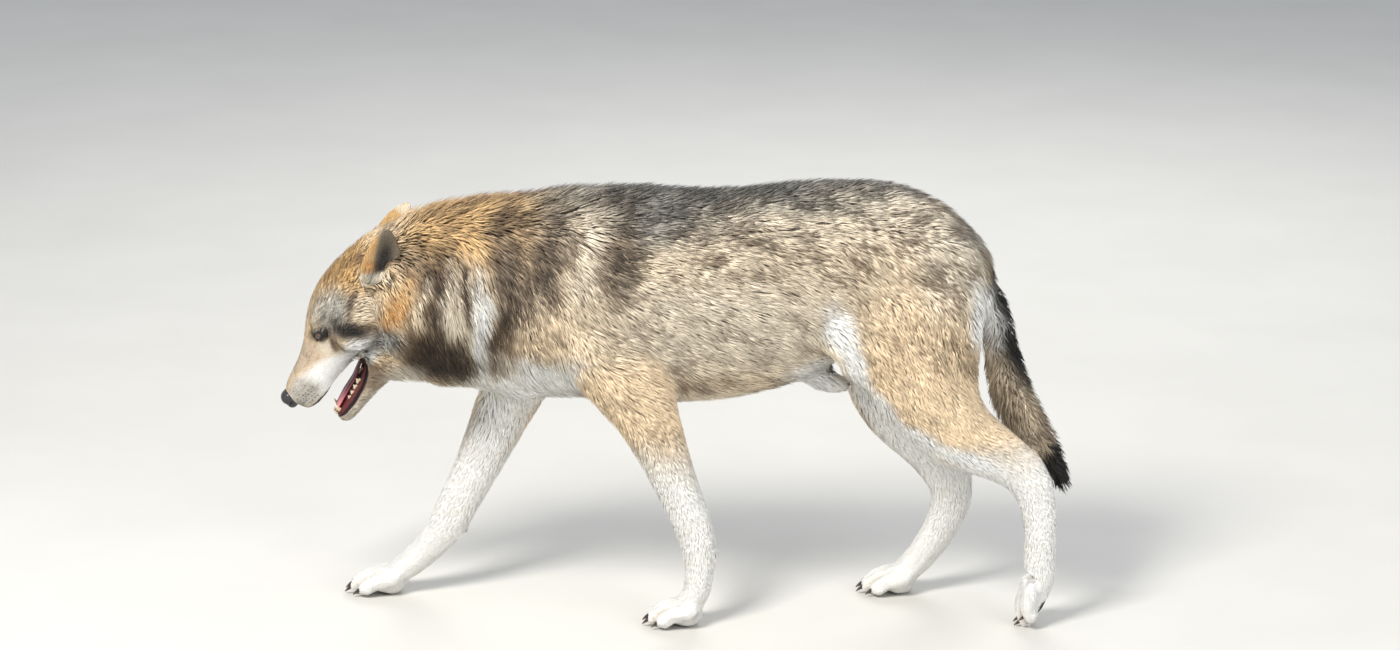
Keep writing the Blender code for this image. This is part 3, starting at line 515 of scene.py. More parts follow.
def skin_field():
    """Lattices of the coat's outline, of the skin, which is where outline + depth is 0, of the ears, and of
    the detail share.  The coat thins out towards the roots of the ears, so that they stand on the skin."""
    coarse, fine, ears, low = flesh_fields()
    shape = np.array(coarse.shape)
    points = lattice_points(low, shape, COARSE)
    band = np.abs(coarse.ravel()) < COARSE_BAND
    depth = np.full(len(points), DEPTH_BEYOND, np.float32)
    depth[band] = coat_at(points[band], slice(0, 1))[:, 0]
    detail = detail_share(points).astype(np.float32).reshape(shape)
    depth = finer(depth.reshape(shape))
    smooth = finer(blurred(coarse, 3))
    # The fine lattice ends 15 mm from the outline.
    share = finer(detail) * ramp(0.0135, 0.010, np.abs(smooth))
    outline = with_toes(blend(smooth, fine, share), 2 * low)
    q = to_head(points)
    root = np.linalg.norm(q * [1, 0, 1] + np.abs(q) * [0, 1, 0] - EAR_ROOT, axis=1)
    root_share = finer(ramp(0.062, 0.035, root).astype(np.float32).reshape(shape)) * ramp(0.020, 0.004, ears)
    depth = blend(depth, np.minimum(depth, 0.001), root_share)
    detail = np.maximum(detail, ramp(0.008, 0.004, ears[::2, ::2, ::2]))
    flesh = np.minimum(outline + depth, ears + EAR_COAT)
    fields = [Field(v.astype(np.float32), 2 * low, FINE) for v in (outline, flesh, ears)]
    return (*fields, Field(detail, low, COARSE))


outline_field, flesh_field, ear_field, detail_field = skin_field()


# ---------------------------------------------------------------- meshes


def mesh_object(name, points, *faces, smooth=True):
    """A mesh object from points and arrays of faces, each array with one number of corners."""
    mesh = bpy.data.meshes.new(name)
    mesh.vertices.add(len(points))
    mesh.vertices.foreach_set("co", np.asarray(points, np.float32).ravel())
    corners = np.concatenate([np.asarray(f, np.int32).ravel() for f in faces])
    sizes = np.concatenate([np.full(len(f), f.shape[1], np.int32) for f in map(np.asarray, faces)])
    mesh.loops.add(len(corners))
    mesh.loops.foreach_set("vertex_index", corners)
    mesh.polygons.add(len(sizes))
    mesh.polygons.foreach_set("loop_start", np.concatenate([[0], np.cumsum(sizes)[:-1]]).astype(np.int32))
    mesh.update(calc_edges=True)
    if smooth:
        mesh.shade_smooth()
    obj = bpy.data.objects.new(name, mesh)
    bpy.context.scene.collection.objects.link(obj)
    return obj


def points_of(obj):
    """The places of a mesh's vertices."""
    co = np.empty(len(obj.data.vertices) * 3, np.float32)
    obj.data.vertices.foreach_get("co", co)
    return co.reshape(-1, 3).astype(float)


def set_points(obj, points):
    """Moves a mesh's vertices."""
    obj.data.vertices.foreach_set("co", np.asarray(points, np.float32).ravel())
    obj.data.update()


def edges_of(obj):
    """The ends of a mesh's edges."""
    ends = np.empty(len(obj.data.edges) * 2, np.int32)
    obj.data.edges.foreach_get("vertices", ends)
    return ends.reshape(-1, 2)


def paint(obj, name, values):
    """Stores one number or colour for each vertex."""
    kind, key, width = ("FLOAT_COLOR", "color", 4) if values.ndim == 2 else ("FLOAT", "value", 1)
    if width == 4:
        values = np.concatenate([values, np.ones((len(values), 1))], 1)
    layer = obj.data.attributes.new(name, kind, "POINT")
    layer.data.foreach_set(key, values.astype(np.float32).ravel())


def apply_modifiers(obj):
    """Turns a mesh object's modifiers into mesh."""
    graph = bpy.context.evaluated_depsgraph_get()
    mesh = bpy.data.meshes.new_from_object(obj.evaluated_get(graph), depsgraph=graph)
    obj.modifiers.clear()
    obj.data = mesh
    mesh.name = obj.name


# ---------------------------------------------------------------- the skin

FACE_BACK = -0.030  # in the head's frame, where the finely divided skin of the face starts
EYE_SIDES = ((1, "eye_left"), (-1, "eye_right"))
EYE_AXIS = np.array([0.46, 0.87, 0.16])  # the way an eye looks, on the left side
SLIT_AXIS = np.array([-0.86, 0.36, 0.36])  # from the inner corner of an eye to the outer one
EYE_SUNK = 0.0048
EYE_FILLET = 0.010
LIP_SUNK = 0.0035
SLIT_HALF_LENGTH = 0.93  # in eye radii
SLIT_HALF_HEIGHT = 0.31
LIP_ROLLED = 0.0014
BODY_KEPT = 0.075  # the share of the body's triangles that stay when the skin is thinned out
FACE_MIDDLE = np.array([0.03, 0, -0.05])
FACE_RADIUS = 0.132
ROUND_EYE = 0.019  # how far the finest part of the skin goes from an eye
MOUTH_CORNER = np.array([0.006, 0, -0.080])


def eye_frame(side):
    """Rows: the way the eye looks, from its inner to its outer corner, and up across the lids."""
    mirror = np.array([1, side, 1])
    look = unit(EYE_AXIS * mirror)
    slit = SLIT_AXIS * mirror
    slit = unit(slit - slit.dot(look) * look)
    return np.stack([look, slit, np.cross(look, slit) * side])


def eye_centre(side):
    """An eye's centre in the head's frame, sunk along the way it looks."""
    place = np.array([EYE_PLACE.x, side * EYE_PLACE.y, EYE_PLACE.z])
    return place - EYE_SUNK * unit(EYE_AXIS * [1, side, 1])


def lid_place(away, side):
    """For ways from an eye's centre: how far each looks out, how far along the slit it is, and how far above
    or below the almond |b| < H (1 - (a/A)^2) between the lids."""
    look, slit, lift = (unit(away) @ eye_frame(side).T).T
    almond = SLIT_HALF_HEIGHT * np.maximum(0.0, 1 - (slit / SLIT_HALF_LENGTH) ** 2)
    return look, slit, np.abs(lift) - almond


def with_lids(q):
    """The skin round the eyes, in the head's frame.  Between the lids it passes behind the eyeball, and round
    them it lies on a slightly larger ball, which melts into the face."""
    for side, _ in EYE_SIDES:
        centre = eye_centre(side)
        away = q - centre
        far = np.linalg.norm(away, axis=1)
        look, slit, edge = lid_place(away, side)
        open_share = ramp(0.05, -0.04, edge) * ramp(0.1, 0.3, look)
        open_share = open_share * ramp(1.02, 0.90, np.abs(slit) / SLIT_HALF_LENGTH)
        lid_ball = EYE_RADIUS * (1.06 + 0.05 * np.exp(-((edge - 0.12) / 0.10) ** 2))
        hold = ramp(0.95, 0.30, edge) * ramp(0.0, 0.35, look) * ramp(2.6 * EYE_RADIUS, 1.3 * EYE_RADIUS, far)
        fillet = np.maximum(EYE_FILLET - np.abs(far - lid_ball), 0.0) ** 2 / (4 * EYE_FILLET)
        covered = blend(np.maximum(far, lid_ball) + fillet, lid_ball, hold)
        q = centre + unit(away) * blend(covered, 0.74 * EYE_RADIUS, open_share)[:, None]
    return q


def behind_nose(q):
    """The skin sunk to 0.5 of its distance from the middle of the nose, where the nose covers it."""
    away = q - NOSE_PLACE
    share = ramp(1.14, 0.97, np.linalg.norm(away / NOSE_RADII, axis=1))
    return NOSE_PLACE + away * blend(1.0, 0.5, share)[:, None]


# The bare edges of the lips in the head's frame: forward, the edge of the upper lip, the top of the lower
# jaw, and where the hair of the lower jaw begins.
LIP_LINE = np.array(
    [
        (-0.014, -0.0800, -0.0810, -0.0840),
        (-0.006, -0.0790, -0.0815, -0.0940),
        (0.008, -0.0780, -0.0830, -0.1070),
        (0.024, -0.0755, -0.0910, -0.1150),
        (0.036, -0.0735, -0.0970, -0.1190),
        (0.066, -0.0720, -0.1020, -0.1250),
        (0.094, -0.0700, -0.1080, -0.1255),
        (0.106, -0.0690, -0.1130, -0.1220),
        (0.125, -0.0660, -0.1180, -0.1195),
    ]
)


def lip_lines(q):
    """The upper lip's edge, the jaw's top and the hair's edge at points of the head's frame."""
    return [np.interp(q[:, 0], LIP_LINE[:, 0], LIP_LINE[:, k]) for k in (1, 2, 3)]


def up_lower_lip(q):
    """0 at the hair's edge of the lower lip and 1 on the top of the jaw."""
    _, top, edge = lip_lines(q)
    return (q[:, 2] - edge) / np.maximum(top - edge, 0.002)


def with_lips(q):
    """The lower lip rolled out along its edge, and the gum above it sunk."""
    t = up_lower_lip(q)
    where = ramp(-0.008, 0.004, q[:, 0]) * ramp(0.108, 0.096, q[:, 0]) * ramp(0.004, 0.009, np.abs(q[:, 1]))
    sunk = LIP_SUNK * ramp(0.05, 0.25, t) * ramp(1.6, 1.1, t)
    rolled = LIP_ROLLED * np.exp(-(((t - 0.03) / 0.10) ** 2))
    q = q.copy()
    q[:, 1] += np.sign(q[:, 1]) * (rolled - sunk) * where
    return q


def largest_shell(points, quads):
    """The largest connected surface: every point takes the least number among its neighbours, until none
    changes."""
    label = np.arange(len(points))
    a = quads.ravel()
    b = np.roll(quads, 1, axis=1).ravel()
    while True:
        least = np.minimum(label[a], label[b])
        new = label.copy()
        np.minimum.at(new, a, least)
        np.minimum.at(new, b, least)
        new = new[new]
        if (new == label).all():
            break
        label = new
    keep = label == np.bincount(label).argmax()
    number = np.cumsum(keep) - 1
    return points[keep], number[quads[keep[quads[:, 0]]]]


def on_flesh(points, times=2):
    """Points moved along the field's slope to the surface of the skin."""
    for _ in range(times):
        slope = flesh_field.slope(points)
        size = np.maximum(np.linalg.norm(slope, axis=1, keepdims=True), 0.3)
        step = flesh_field.at(points)[:, None] * slope / size**2
        points = points - np.clip(step, -0.004, 0.004)
    return points


def relaxed(points, edges, share, times):
    """Each point moved towards the mean of its neighbours, as far as share says."""
    count = np.bincount(edges.ravel(), minlength=len(points))[:, None]
    for _ in range(times):
        total = np.zeros_like(points)
        for axis in range(3):
            total[:, axis] = np.bincount(edges[:, 0], points[edges[:, 1], axis], len(points))
            total[:, axis] += np.bincount(edges[:, 1], points[edges[:, 0], axis], len(points))
        points = points + share * (total / np.maximum(count, 1) - points)
    return points


def subdivide(obj, inside):
    """Halves every edge of the faces for which inside says so."""
    bm = bmesh.new()
    bm.from_mesh(obj.data)
    bm.verts.ensure_lookup_table()
    edges = [e for e in bm.edges if inside[e.verts[0].index] and inside[e.verts[1].index]]
    bmesh.ops.subdivide_edges(bm, edges=edges, cuts=1, use_grid_fill=True)
    bmesh.ops.triangulate(bm, faces=[f for f in bm.faces if len(f.verts) > 4])
    bm.to_mesh(obj.data)
    bm.free()


def make_skin():
    """One closed skin over the whole animal: the surface where outline + depth is 0, thinned out on the
    body, divided finely on the face, and given its lids."""
    grid = openvdb.FloatGrid(0.05)
    grid.copyFromArray(flesh_field.values)
    points, quads = grid.convertToQuads(0.0)
    points, quads = largest_shell((points + flesh_field.low) * FINE, quads)
    skin = mesh_object("skin", points, quads[:, ::-1])
    detail = detail_field.at(points)
    fine_count = (detail > 0.5).sum()
    group = skin.vertex_groups.new(name="body")
    group.add(np.nonzero(detail < 0.5)[0].tolist(), 1.0, "REPLACE")
    thin = skin.modifiers.new("thin", "DECIMATE")
    thin.ratio = (fine_count + BODY_KEPT * (len(points) - fine_count)) / len(points)
    thin.vertex_group = "body"
    apply_modifiers(skin)
    skin.vertex_groups.clear()
    set_points(skin, on_flesh(relaxed(points_of(skin), edges_of(skin), 0.5, 2)))
    q = to_head(points_of(skin))
    subdivide(skin, (q[:, 0] > FACE_BACK) & (np.linalg.norm(q - FACE_MIDDLE, axis=1) < FACE_RADIUS))
    q = to_head(points_of(skin))
    near_eye = np.zeros(len(q), bool)
    for side, _ in EYE_SIDES:
        near_eye |= np.linalg.norm(q - eye_centre(side), axis=1) < ROUND_EYE
    subdivide(skin, near_eye)
    skin.data.update()
    points = on_flesh(relaxed(points_of(skin), edges_of(skin), 0.5, 2))
    soft = relaxed(points, edges_of(skin), 0.5, 12)
    corner = np.linalg.norm((to_head(points) - MOUTH_CORNER) * [1, 0, 1], axis=1)
    points = blend(points, soft, ramp(0.022, 0.012, corner)[:, None])
    points = from_head(with_lids(behind_nose(with_lips(to_head(points)))))
    set_points(skin, points)
    skin.data.shade_smooth()
    return skin


# ---------------------------------------------------------------- colours of skin and coat

WHITE = (0.94, 0.935, 0.915)
CREAM = (0.90, 0.85, 0.76)
BUFF = (0.87, 0.80, 0.69)
TAN = (0.87, 0.77, 0.63)
PEACH = (0.95, 0.85, 0.71)
SAND = (0.80, 0.72, 0.62)
OLIVE = (0.45, 0.42, 0.36)
HONEY = (0.82, 0.66, 0.43)
ASH = (0.76, 0.74, 0.69)
UMBER = (0.56, 0.49, 0.41)
STEEL = (0.50, 0.50, 0.48)
OCHRE = (0.82, 0.68, 0.48)
RUST = (0.76, 0.52, 0.29)
GREY = (0.64, 0.63, 0.60)
BROWN = (0.42, 0.34, 0.26)
SOOT = (0.18, 0.165, 0.155)
BLACK = (0.09, 0.088, 0.085)
LIP = (0.13, 0.07, 0.075)
GUM = (0.36, 0.15, 0.16)
# Dark flesh deep in the open mouth, made darker still by painted shade.
MOUTH_DEPTH_SHADE = (0.20, 0.07, 0.075)
PAD = (0.19, 0.165, 0.16)

# A marking: its middle, its half sizes along x, y and z, its turn from x towards z in degrees, how softly it
# ends, the colour of the hairs, the colour of their tips, and how much of the coat the tips' colour takes.
# A marking off the midline is on both sides.
Marking = namedtuple("Marking", "x y z rx ry rz turn soft hair tip share")


def stripe(x0, z0, x1, z1, half, hair, tip, share, y=0.12, soft=0.55):
    """A long marking from one place to another, half broad to either side."""
    turn = math.degrees(math.atan2(z1 - z0, x1 - x0))
    long = math.hypot(x1 - x0, z1 - z0) / 2 + half
    return Marking((x0 + x1) / 2, y, (z0 + z1) / 2, long, 0.20, half, turn, soft, hair, tip, share)


BODY_MARKINGS = [
    Marking(0.08, 0.0, 0.805, 0.62, 0.30, 0.130, 0, 0.60, CREAM, SOOT, 0.54),  # grizzled back
    Marking(0.05, 0.0, 0.775, 0.26, 0.20, 0.066, 2, 0.60, STEEL, BLACK, 0.97),  # dark stripe on the back
    Marking(0.36, 0.0, 0.775, 0.18, 0.10, 0.040, -5, 0.60, GREY, BLACK, 0.78),
    Marking(-0.37, 0.0, 0.700, 0.120, 0.30, 0.110, -15, 0.45, OCHRE, BROWN, 0.47),  # golden neck
    Marking(-0.40, 0.0, 0.768, 0.24, 0.06, 0.030, 14, 0.70, GREY, BLACK, 0.70),  # grey ridge of the mane
    Marking(-0.20, 0.0, 0.785, 0.14, 0.10, 0.034, 0, 0.70, GREY, BLACK, 0.64),
    Marking(-0.060, 0.13, 0.712, 0.060, 0.10, 0.040, 20, 0.70, GREY, BLACK, 0.88),  # behind the withers
    Marking(-0.268, 0.13, 0.727, 0.045, 0.10, 0.032, 10, 0.70, BROWN, BLACK, 0.85),
    Marking(-0.445, 0.1, 0.585, 0.090, 0.20, 0.065, 0, 0.65, BROWN, SOOT, 0.80),  # brown side of the neck
    Marking(-0.302, 0.12, 0.620, 0.028, 0.12, 0.110, 6, 0.80, UMBER, SOOT, 0.80),  # three dark bars
    Marking(-0.236, 0.13, 0.645, 0.028, 0.12, 0.100, -6, 0.80, UMBER, SOOT, 0.90),
    Marking(-0.114, 0.13, 0.645, 0.030, 0.12, 0.085, -10, 0.80, UMBER, SOOT, 0.86),
    Marking(-0.170, 0.13, 0.640, 0.020, 0.12, 0.090, -8, 0.70, CREAM, BROWN, 0.42),
    stripe(-0.440, 0.600, -0.450, 0.530, 0.009, CREAM, BROWN, 0.30),  # pale locks on the neck
    Marking(-0.372, 0.12, 0.560, 0.040, 0.15, 0.070, -8, 0.70, CREAM, BROWN, 0.30),
    stripe(-0.397, 0.630, -0.398, 0.520, 0.009, CREAM, BROWN, 0.18),
    stripe(-0.350, 0.590, -0.350, 0.440, 0.016, WHITE, GREY, 0.14),
    # The dark locks between the pale ones are partly darker hair and partly painted shade between the locks.
    stripe(-0.376, 0.640, -0.374, 0.550, 0.004, BROWN, SOOT, 0.80),  # dark locks between them
    stripe(-0.419, 0.620, -0.424, 0.530, 0.005, BROWN, SOOT, 0.75),
    stripe(-0.318, 0.550, -0.325, 0.470, 0.015, BROWN, SOOT, 0.85),
    Marking(-0.440, 0.1, 0.484, 0.092, 0.20, 0.046, -18, 0.50, BROWN, BLACK, 0.97),  # dark edge of the ruff
    Marking(-0.21, 0.12, 0.510, 0.105, 0.20, 0.055, 22, 0.60, PEACH, BROWN, 0.28),  # shoulder
    stripe(-0.285, 0.470, -0.175, 0.408, 0.022, WHITE, GREY, 0.06),  # white edge before the foreleg
    Marking(-0.130, 0.12, 0.450, 0.060, 0.20, 0.040, 20, 0.60, TAN, BROWN, 0.18),  # elbow
    Marking(0.08, 0.12, 0.530, 0.26, 0.20, 0.085, 0, 0.60, CREAM, BROWN, 0.15),  # pale flank
    Marking(0.08, 0.0, 0.415, 0.24, 0.30, 0.030, 0, 0.60, BUFF, BROWN, 0.56),  # belly's edge
    Marking(0.02, 0.0, 0.370, 0.50, 0.08, 0.045, 0, 0.45, CREAM, GREY, 0.20),
    Marking(0.235, 0.0, 0.420, 0.075, 0.20, 0.045, 0, 0.50, WHITE, GREY, 0.18),  # groin
    Marking(-0.270, 0.0, 0.425, 0.135, 0.30, 0.045, 14, 0.40, WHITE, GREY, 0.08),  # breast
    Marking(0.40, 0.12, 0.480, 0.120, 0.20, 0.140, 10, 0.55, PEACH, BROWN, 0.26),  # thigh
    Marking(0.36, 0.12, 0.410, 0.080, 0.20, 0.050, -40, 0.90, TAN, BROWN, 0.08),
    Marking(0.450, 0.10, 0.640, 0.060, 0.20, 0.090, 0, 0.60, CREAM, BROWN, 0.56),  # flecked rump
]
LATE_MARKINGS = [  # laid over the legs and the tail
    stripe(0.248, 0.545, 0.268, 0.500, 0.024, WHITE, GREY, 0.04),  # white front edge of the thigh
    stripe(0.268, 0.500, 0.300, 0.415, 0.020, WHITE, GREY, 0.04),
    stripe(0.300, 0.415, 0.350, 0.360, 0.018, WHITE, GREY, 0.04),
    stripe(0.350, 0.360, 0.430, 0.315, 0.017, WHITE, GREY, 0.04),
    stripe(0.430, 0.315, 0.530, 0.270, 0.016, WHITE, GREY, 0.04),
    stripe(0.430, 0.745, 0.512, 0.650, 0.026, GREY, BLACK, 0.80, 0.04, 0.70),  # dark edge of the rump
    stripe(0.484, 0.578, 0.506, 0.490, 0.026, WHITE, GREY, 0.02, 0.06, 0.40),  # white buttock
    stripe(0.500, 0.680, 0.545, 0.560, 0.016, SOOT, BLACK, 0.95, 0.0, 0.60),  # dark rear edge of the rump
]
HEAD_MARKINGS = [
    Marking(-0.02, 0.0, -0.02, 0.20, 0.20, 0.12, 0, 0.20, TAN, BROWN, 0.40),  # the whole face
    Marking(-0.108, 0.05, -0.150, 0.036, 0.08, 0.046, 0, 0.50, BROWN, BLACK, 0.93),  # dark edge of the ruff
    Marking(-0.100, 0.0, 0.050, 0.070, 0.10, 0.045, 12, 0.50, HONEY, BROWN, 0.44),  # forehead
    Marking(-0.048, 0.045, 0.016, 0.040, 0.05, 0.034, 0, 0.60, ASH, SOOT, 0.50),  # speckled brow
    Marking(0.060, 0.0, -0.003, 0.080, 0.05, 0.018, 8, 0.50, SAND, BROWN, 0.34),  # bridge of the nose
    Marking(0.010, 0.046, -0.018, 0.014, 0.05, 0.014, 0, 0.50, CREAM, GREY, 0.20),  # pale under the eye
    Marking(-0.088, 0.065, 0.004, 0.020, 0.05, 0.0050, -18, 0.90, BROWN, SOOT, 0.75),  # line below the ear
    Marking(-0.068, 0.060, -0.012, 0.014, 0.05, 0.0055, -65, 0.90, BROWN, SOOT, 0.80),
    Marking(-0.098, 0.065, -0.021, 0.030, 0.06, 0.021, 10, 0.45, BUFF, BROWN, 0.14),  # pale patch
    Marking(-0.034, 0.055, -0.056, 0.031, 0.05, 0.030, 0, 0.35, WHITE, CREAM, 0.02),  # white cheek
    Marking(-0.050, 0.058, -0.022, 0.034, 0.05, 0.0170, 54, 0.55, SOOT, BLACK, 0.95),  # behind the eye
    Marking(-0.004, 0.048, -0.021, 0.018, 0.04, 0.0055, -66, 0.80, BROWN, SOOT, 0.65),  # line under the eye
    Marking(0.001, 0.042, 0.007, 0.024, 0.03, 0.0110, 24, 0.55, SOOT, BLACK, 0.85),  # dark round the eye
    Marking(0.055, 0.036, -0.052, 0.070, 0.05, 0.028, 10, 0.35, WHITE, GREY, 0.06),  # white muzzle
    Marking(-0.010, 0.050, -0.070, 0.040, 0.05, 0.018, 12, 0.40, WHITE, GREY, 0.05),
    Marking(0.103, 0.026, -0.046, 0.027, 0.04, 0.026, 0, 0.50, ASH, SOOT, 0.46),  # whisker pad
    Marking(0.128, 0.0, -0.062, 0.010, 0.002, 0.012, 0, 0.50, SOOT, BLACK, 0.70),  # groove below the nose
    Marking(-0.136, 0.075, -0.058, 0.054, 0.06, 0.013, -16, 0.60, OCHRE, RUST, 0.45),  # rusty tuft
    Marking(-0.072, 0.065, -0.082, 0.040, 0.06, 0.024, 24, 0.50, GREY, SOOT, 0.62),  # edge of the cheek
    Marking(0.010, 0.0, -0.128, 0.090, 0.07, 0.036, 6, 0.40, UMBER, BROWN, 0.20),  # lower jaw
    Marking(0.070, 0.0, -0.138, 0.050, 0.05, 0.020, 6, 0.50, CREAM, SOOT, 0.60),  # chin
    Marking(-0.045, 0.0, -0.150, 0.060, 0.08, 0.034, 0, 0.40, CREAM, GREY, 0.45),  # throat
    Marking(-0.150, 0.070, -0.003, 0.028, 0.04, 0.010, 64, 0.60, CREAM, GREY, 0.45),  # root of the ear
]
BASE = (BUFF, BROWN, 0.46)  # hair, tip and share where no marking lies


def linear(colour):
    """A display colour as light."""
    c = np.array(colour, float)
    return np.where(c <= 0.04045, c / 12.92, ((c + 0.055) / 1.055) ** 2.4)


def in_marking(marking, points):
    """1 inside a marking's ellipsoid and 0 well outside, for points in its own frame."""
    turn = math.radians(marking.turn)
    ahead, up = points[:, 0] - marking.x, points[:, 2] - marking.z
    side = (np.abs(points[:, 1]) if marking.y else points[:, 1]) - marking.y
    x = ahead * math.cos(turn) + up * math.sin(turn)
    z = up * math.cos(turn) - ahead * math.sin(turn)
    size = np.sqrt((x / marking.rx) ** 2 + (side / marking.ry) ** 2 + (z / marking.rz) ** 2)
    return ramp(1 + marking.soft, 1 - marking.soft, size)


def limb_share(points):
    """For each leg and the tail, 1 near its line: the distance to the nearest of its places."""
    drawn = points - SHIFT
    shares = []
    for line in LIMBS.values():
        table = np.array(line)
        between = [blend(table[:-1], table[1:], t) for t in (0.0, 0.25, 0.5, 0.75)]
        dense = np.concatenate([*between, table[-1:]])
        gap = np.linalg.norm(drawn[:, None, :] - dense[None, :, :3], axis=2) - 1.5 * dense[None, :, 3]
        shares.append(ramp(0.012, -0.016, gap.min(1)))
    return shares


# Height, and how far back the dark rear of the tail starts there.
TAIL_DARK = [(0.24, 0.30, 0.35, 0.40, 0.46, 0.51), (0.600, 0.605, 0.585, 0.552, 0.531, 0.516)]
# The left ear and the right one: the way from root to tip, and the way each opens.
EAR_TIPS = np.array([[-0.85, 0.22, 0.47], [-0.96, -0.24, 0.08]])
EAR_OPENINGS = np.array([[0.0, 1.0, -0.10], [0.0, -0.70, -0.72]])
MIRRORED = np.array([1, -1, 1])  # over to the other side


def ear_place(q):
    """How far a point of the head's frame is along its ear from the root, and across it towards its front."""
    left = q[:, 1:2] > 0
    tips = unit(EAR_TIPS)
    from_root = q * [1, 0, 1] + np.abs(q) * [0, 1, 0] - EAR_ROOT
    tip = np.where(left, tips[0], tips[1] * MIRRORED)
    front = unit(np.cross(tip, np.where(left, EAR_OPENINGS[0], EAR_OPENINGS[1] * MIRRORED)))
    return (from_root * tip).sum(1), -(from_root * front).sum(1)


def ear_opening(q):
    """The way that the nearer ear opens, for points in the head's frame."""
    return unit(np.where(q[:, 1:2] > 0, *EAR_OPENINGS))


def whisker_spots(q):
    """1 at the dark roots of the whiskers: four rows of five, 6.5 mm apart, each exp(-(away / 1.3 mm)^2)."""
    share = np.zeros(len(q))
    for row in range(4):
        for k in range(5):
            ahead, up = 0.121 - 0.0065 * k - 0.001 * row, -0.042 - 0.0062 * row - 0.0006 * k
            away = (q[:, 0] - ahead) ** 2 + (q[:, 2] - up) ** 2
            share = np.maximum(share, np.exp(-away / 0.0013**2))
    return share * ramp(0.008, 0.014, np.abs(q[:, 1]))


def coat_colours(points, normals):
    """Hair colour, tip colour and the tips' share at points: the base, then laid over it the markings of body
    and head, the legs, the tail, the late markings and the ears.  Noise makes the edges wobble."""
    values = np.tile(np.concatenate([linear(BASE[0]), linear(BASE[1]), [BASE[2]]]), (len(points), 1))
    drawn = points - SHIFT
    broad = [0.012 * noise(points, 0.05, 20 + k) for k in range(3)]
    wobble = np.stack([broad[k] + 0.005 * noise(points, 0.014, 24 + k) for k in range(3)], 1)
    q = to_head(points)
    on_head = ramp(-0.235, -0.175, q[:, 0]) * ramp(-0.19, -0.165, q[:, 2])

    def lay(hair, tip, share, amount):
        nonlocal values
        wanted = np.concatenate([linear(hair), linear(tip), [share]])
        values = blend(values, wanted, amount[:, None])

    def lay_all(markings, places, where=1.0):
        for marking in markings:
            lay(marking.hair, marking.tip, marking.share, in_marking(marking, places) * where)

    lay_all(BODY_MARKINGS, drawn + wobble)
    lay_all(HEAD_MARKINGS, q + 0.35 * wobble, on_head)
    lay(SOOT, BLACK, 0.80, 0.85 * whisker_spots(q))
    fore_left, fore_right, hind_left, hind_right, tail = limb_share(points)
    height = drawn[:, 2] + 0.8 * wobble[:, 0]
    inner = ramp(0.090, 0.066, np.abs(drawn[:, 1]))
    white_inside = inner * ramp(0.44, 0.38, height)
    fore, hind = np.maximum(fore_left, fore_right), np.maximum(hind_left, hind_right)
    for legs, top, bottom in ((fore, 0.36, 0.24), (hind, 0.34, 0.27)):
        lay(PEACH, BROWN, 0.10, legs * ramp(0.52, 0.44, height) * ramp(bottom, top, height) * (1 - inner))
        lay(WHITE, CREAM, 0.10, legs * np.maximum(ramp(top, bottom, height), white_inside))
    lay(WHITE, CREAM, 0.10, ramp(0.17, 0.13, height))
    behind = ramp(-0.008, 0.010, drawn[:, 0] - np.interp(drawn[:, 2], *TAIL_DARK))
    tip_and_root = np.maximum(ramp(0.27, 0.22, height), ramp(0.47, 0.53, height))
    lay(BUFF, BROWN, 0.62, tail)
    lay(SOOT, BLACK, 0.95, tail * np.maximum(behind, tip_and_root))
    lay_all(LATE_MARKINGS, drawn + 0.6 * wobble)
    # Painted shade: the coat in the grooves between the toes is darker.
    lay(CREAM, BROWN, 0.45, 0.7 * toe_grooves(points))
    near_ear = ramp(0.006, 0.002, ear_field.at(points))
    inside = near_ear * ramp(-0.1, 0.3, ((normals @ HEAD_TURN) * ear_opening(q)).sum(1))
    along, across = ear_place(q)
    lay(HONEY, BROWN, 0.60, near_ear)
    lay(CREAM, GREY, 0.30, 0.7 * near_ear * ramp(0.086, 0.095, along))
    # The inside of the ear is olive, partly its own colour and partly painted shade; its hollow is darkest,
    # painted shade in the cup.
    lay(OLIVE, BROWN, 0.40, inside)
    lay(OCHRE, RUST, 0.70, inside * ramp(0.007, 0.019, across))
    hollow_shade = np.hypot((along - 0.050) / 0.042, (across + 0.004) / 0.013)
    lay(SOOT, BLACK, 0.80, inside * ramp(1.6, 0.3, hollow_shade))
    lay(CREAM, GREY, 0.45, inside * ramp(0.034, 0.020, along))
    return values


# ---------------------------------------------------------------- the coat


def in_mouth(points):
    """1 where the skin lines the open mouth or is the lips' bare edge."""
    q = to_head(points)
    upper, _, lower = lip_lines(q)
    between = ramp(upper + 0.0008, upper - 0.0008, q[:, 2]) * ramp(lower - 0.0008, lower + 0.0008, q[:, 2])
    return between * ramp(-0.014, -0.010, q[:, 0]) * ramp(0.14, 0.13, q[:, 0])


def from_eyes(points):
    """The way out from the centre of the nearer eye."""
    q = to_head(points)
    return unit(np.where(q[:, 1:2] > 0, q - eye_centre(1), q - eye_centre(-1))) @ HEAD_TURN.T


def near_eyes(points):
    """1 on the lids."""
    q = to_head(points)
    far = np.minimum(*(np.linalg.norm(q - eye_centre(side), axis=1) for side, _ in EYE_SIDES))
    return ramp(1.35 * EYE_RADIUS, 1.2 * EYE_RADIUS, far)


def lid_rim(points):
    """1 on the black rims of the lids."""
    q = to_head(points)
    rim = np.zeros(len(points))
    for side, _ in EYE_SIDES:
        away = q - eye_centre(side)
        look, slit, edge = lid_place(away, side)
        edge = np.maximum(edge, np.abs(slit) - SLIT_HALF_LENGTH)
        near = ramp(1.9 * EYE_RADIUS, 1.5 * EYE_RADIUS, np.linalg.norm(away, axis=1)) * ramp(0.0, 0.2, look)
        rim = np.maximum(rim, near * ramp(0.17, 0.09, edge))
    return rim


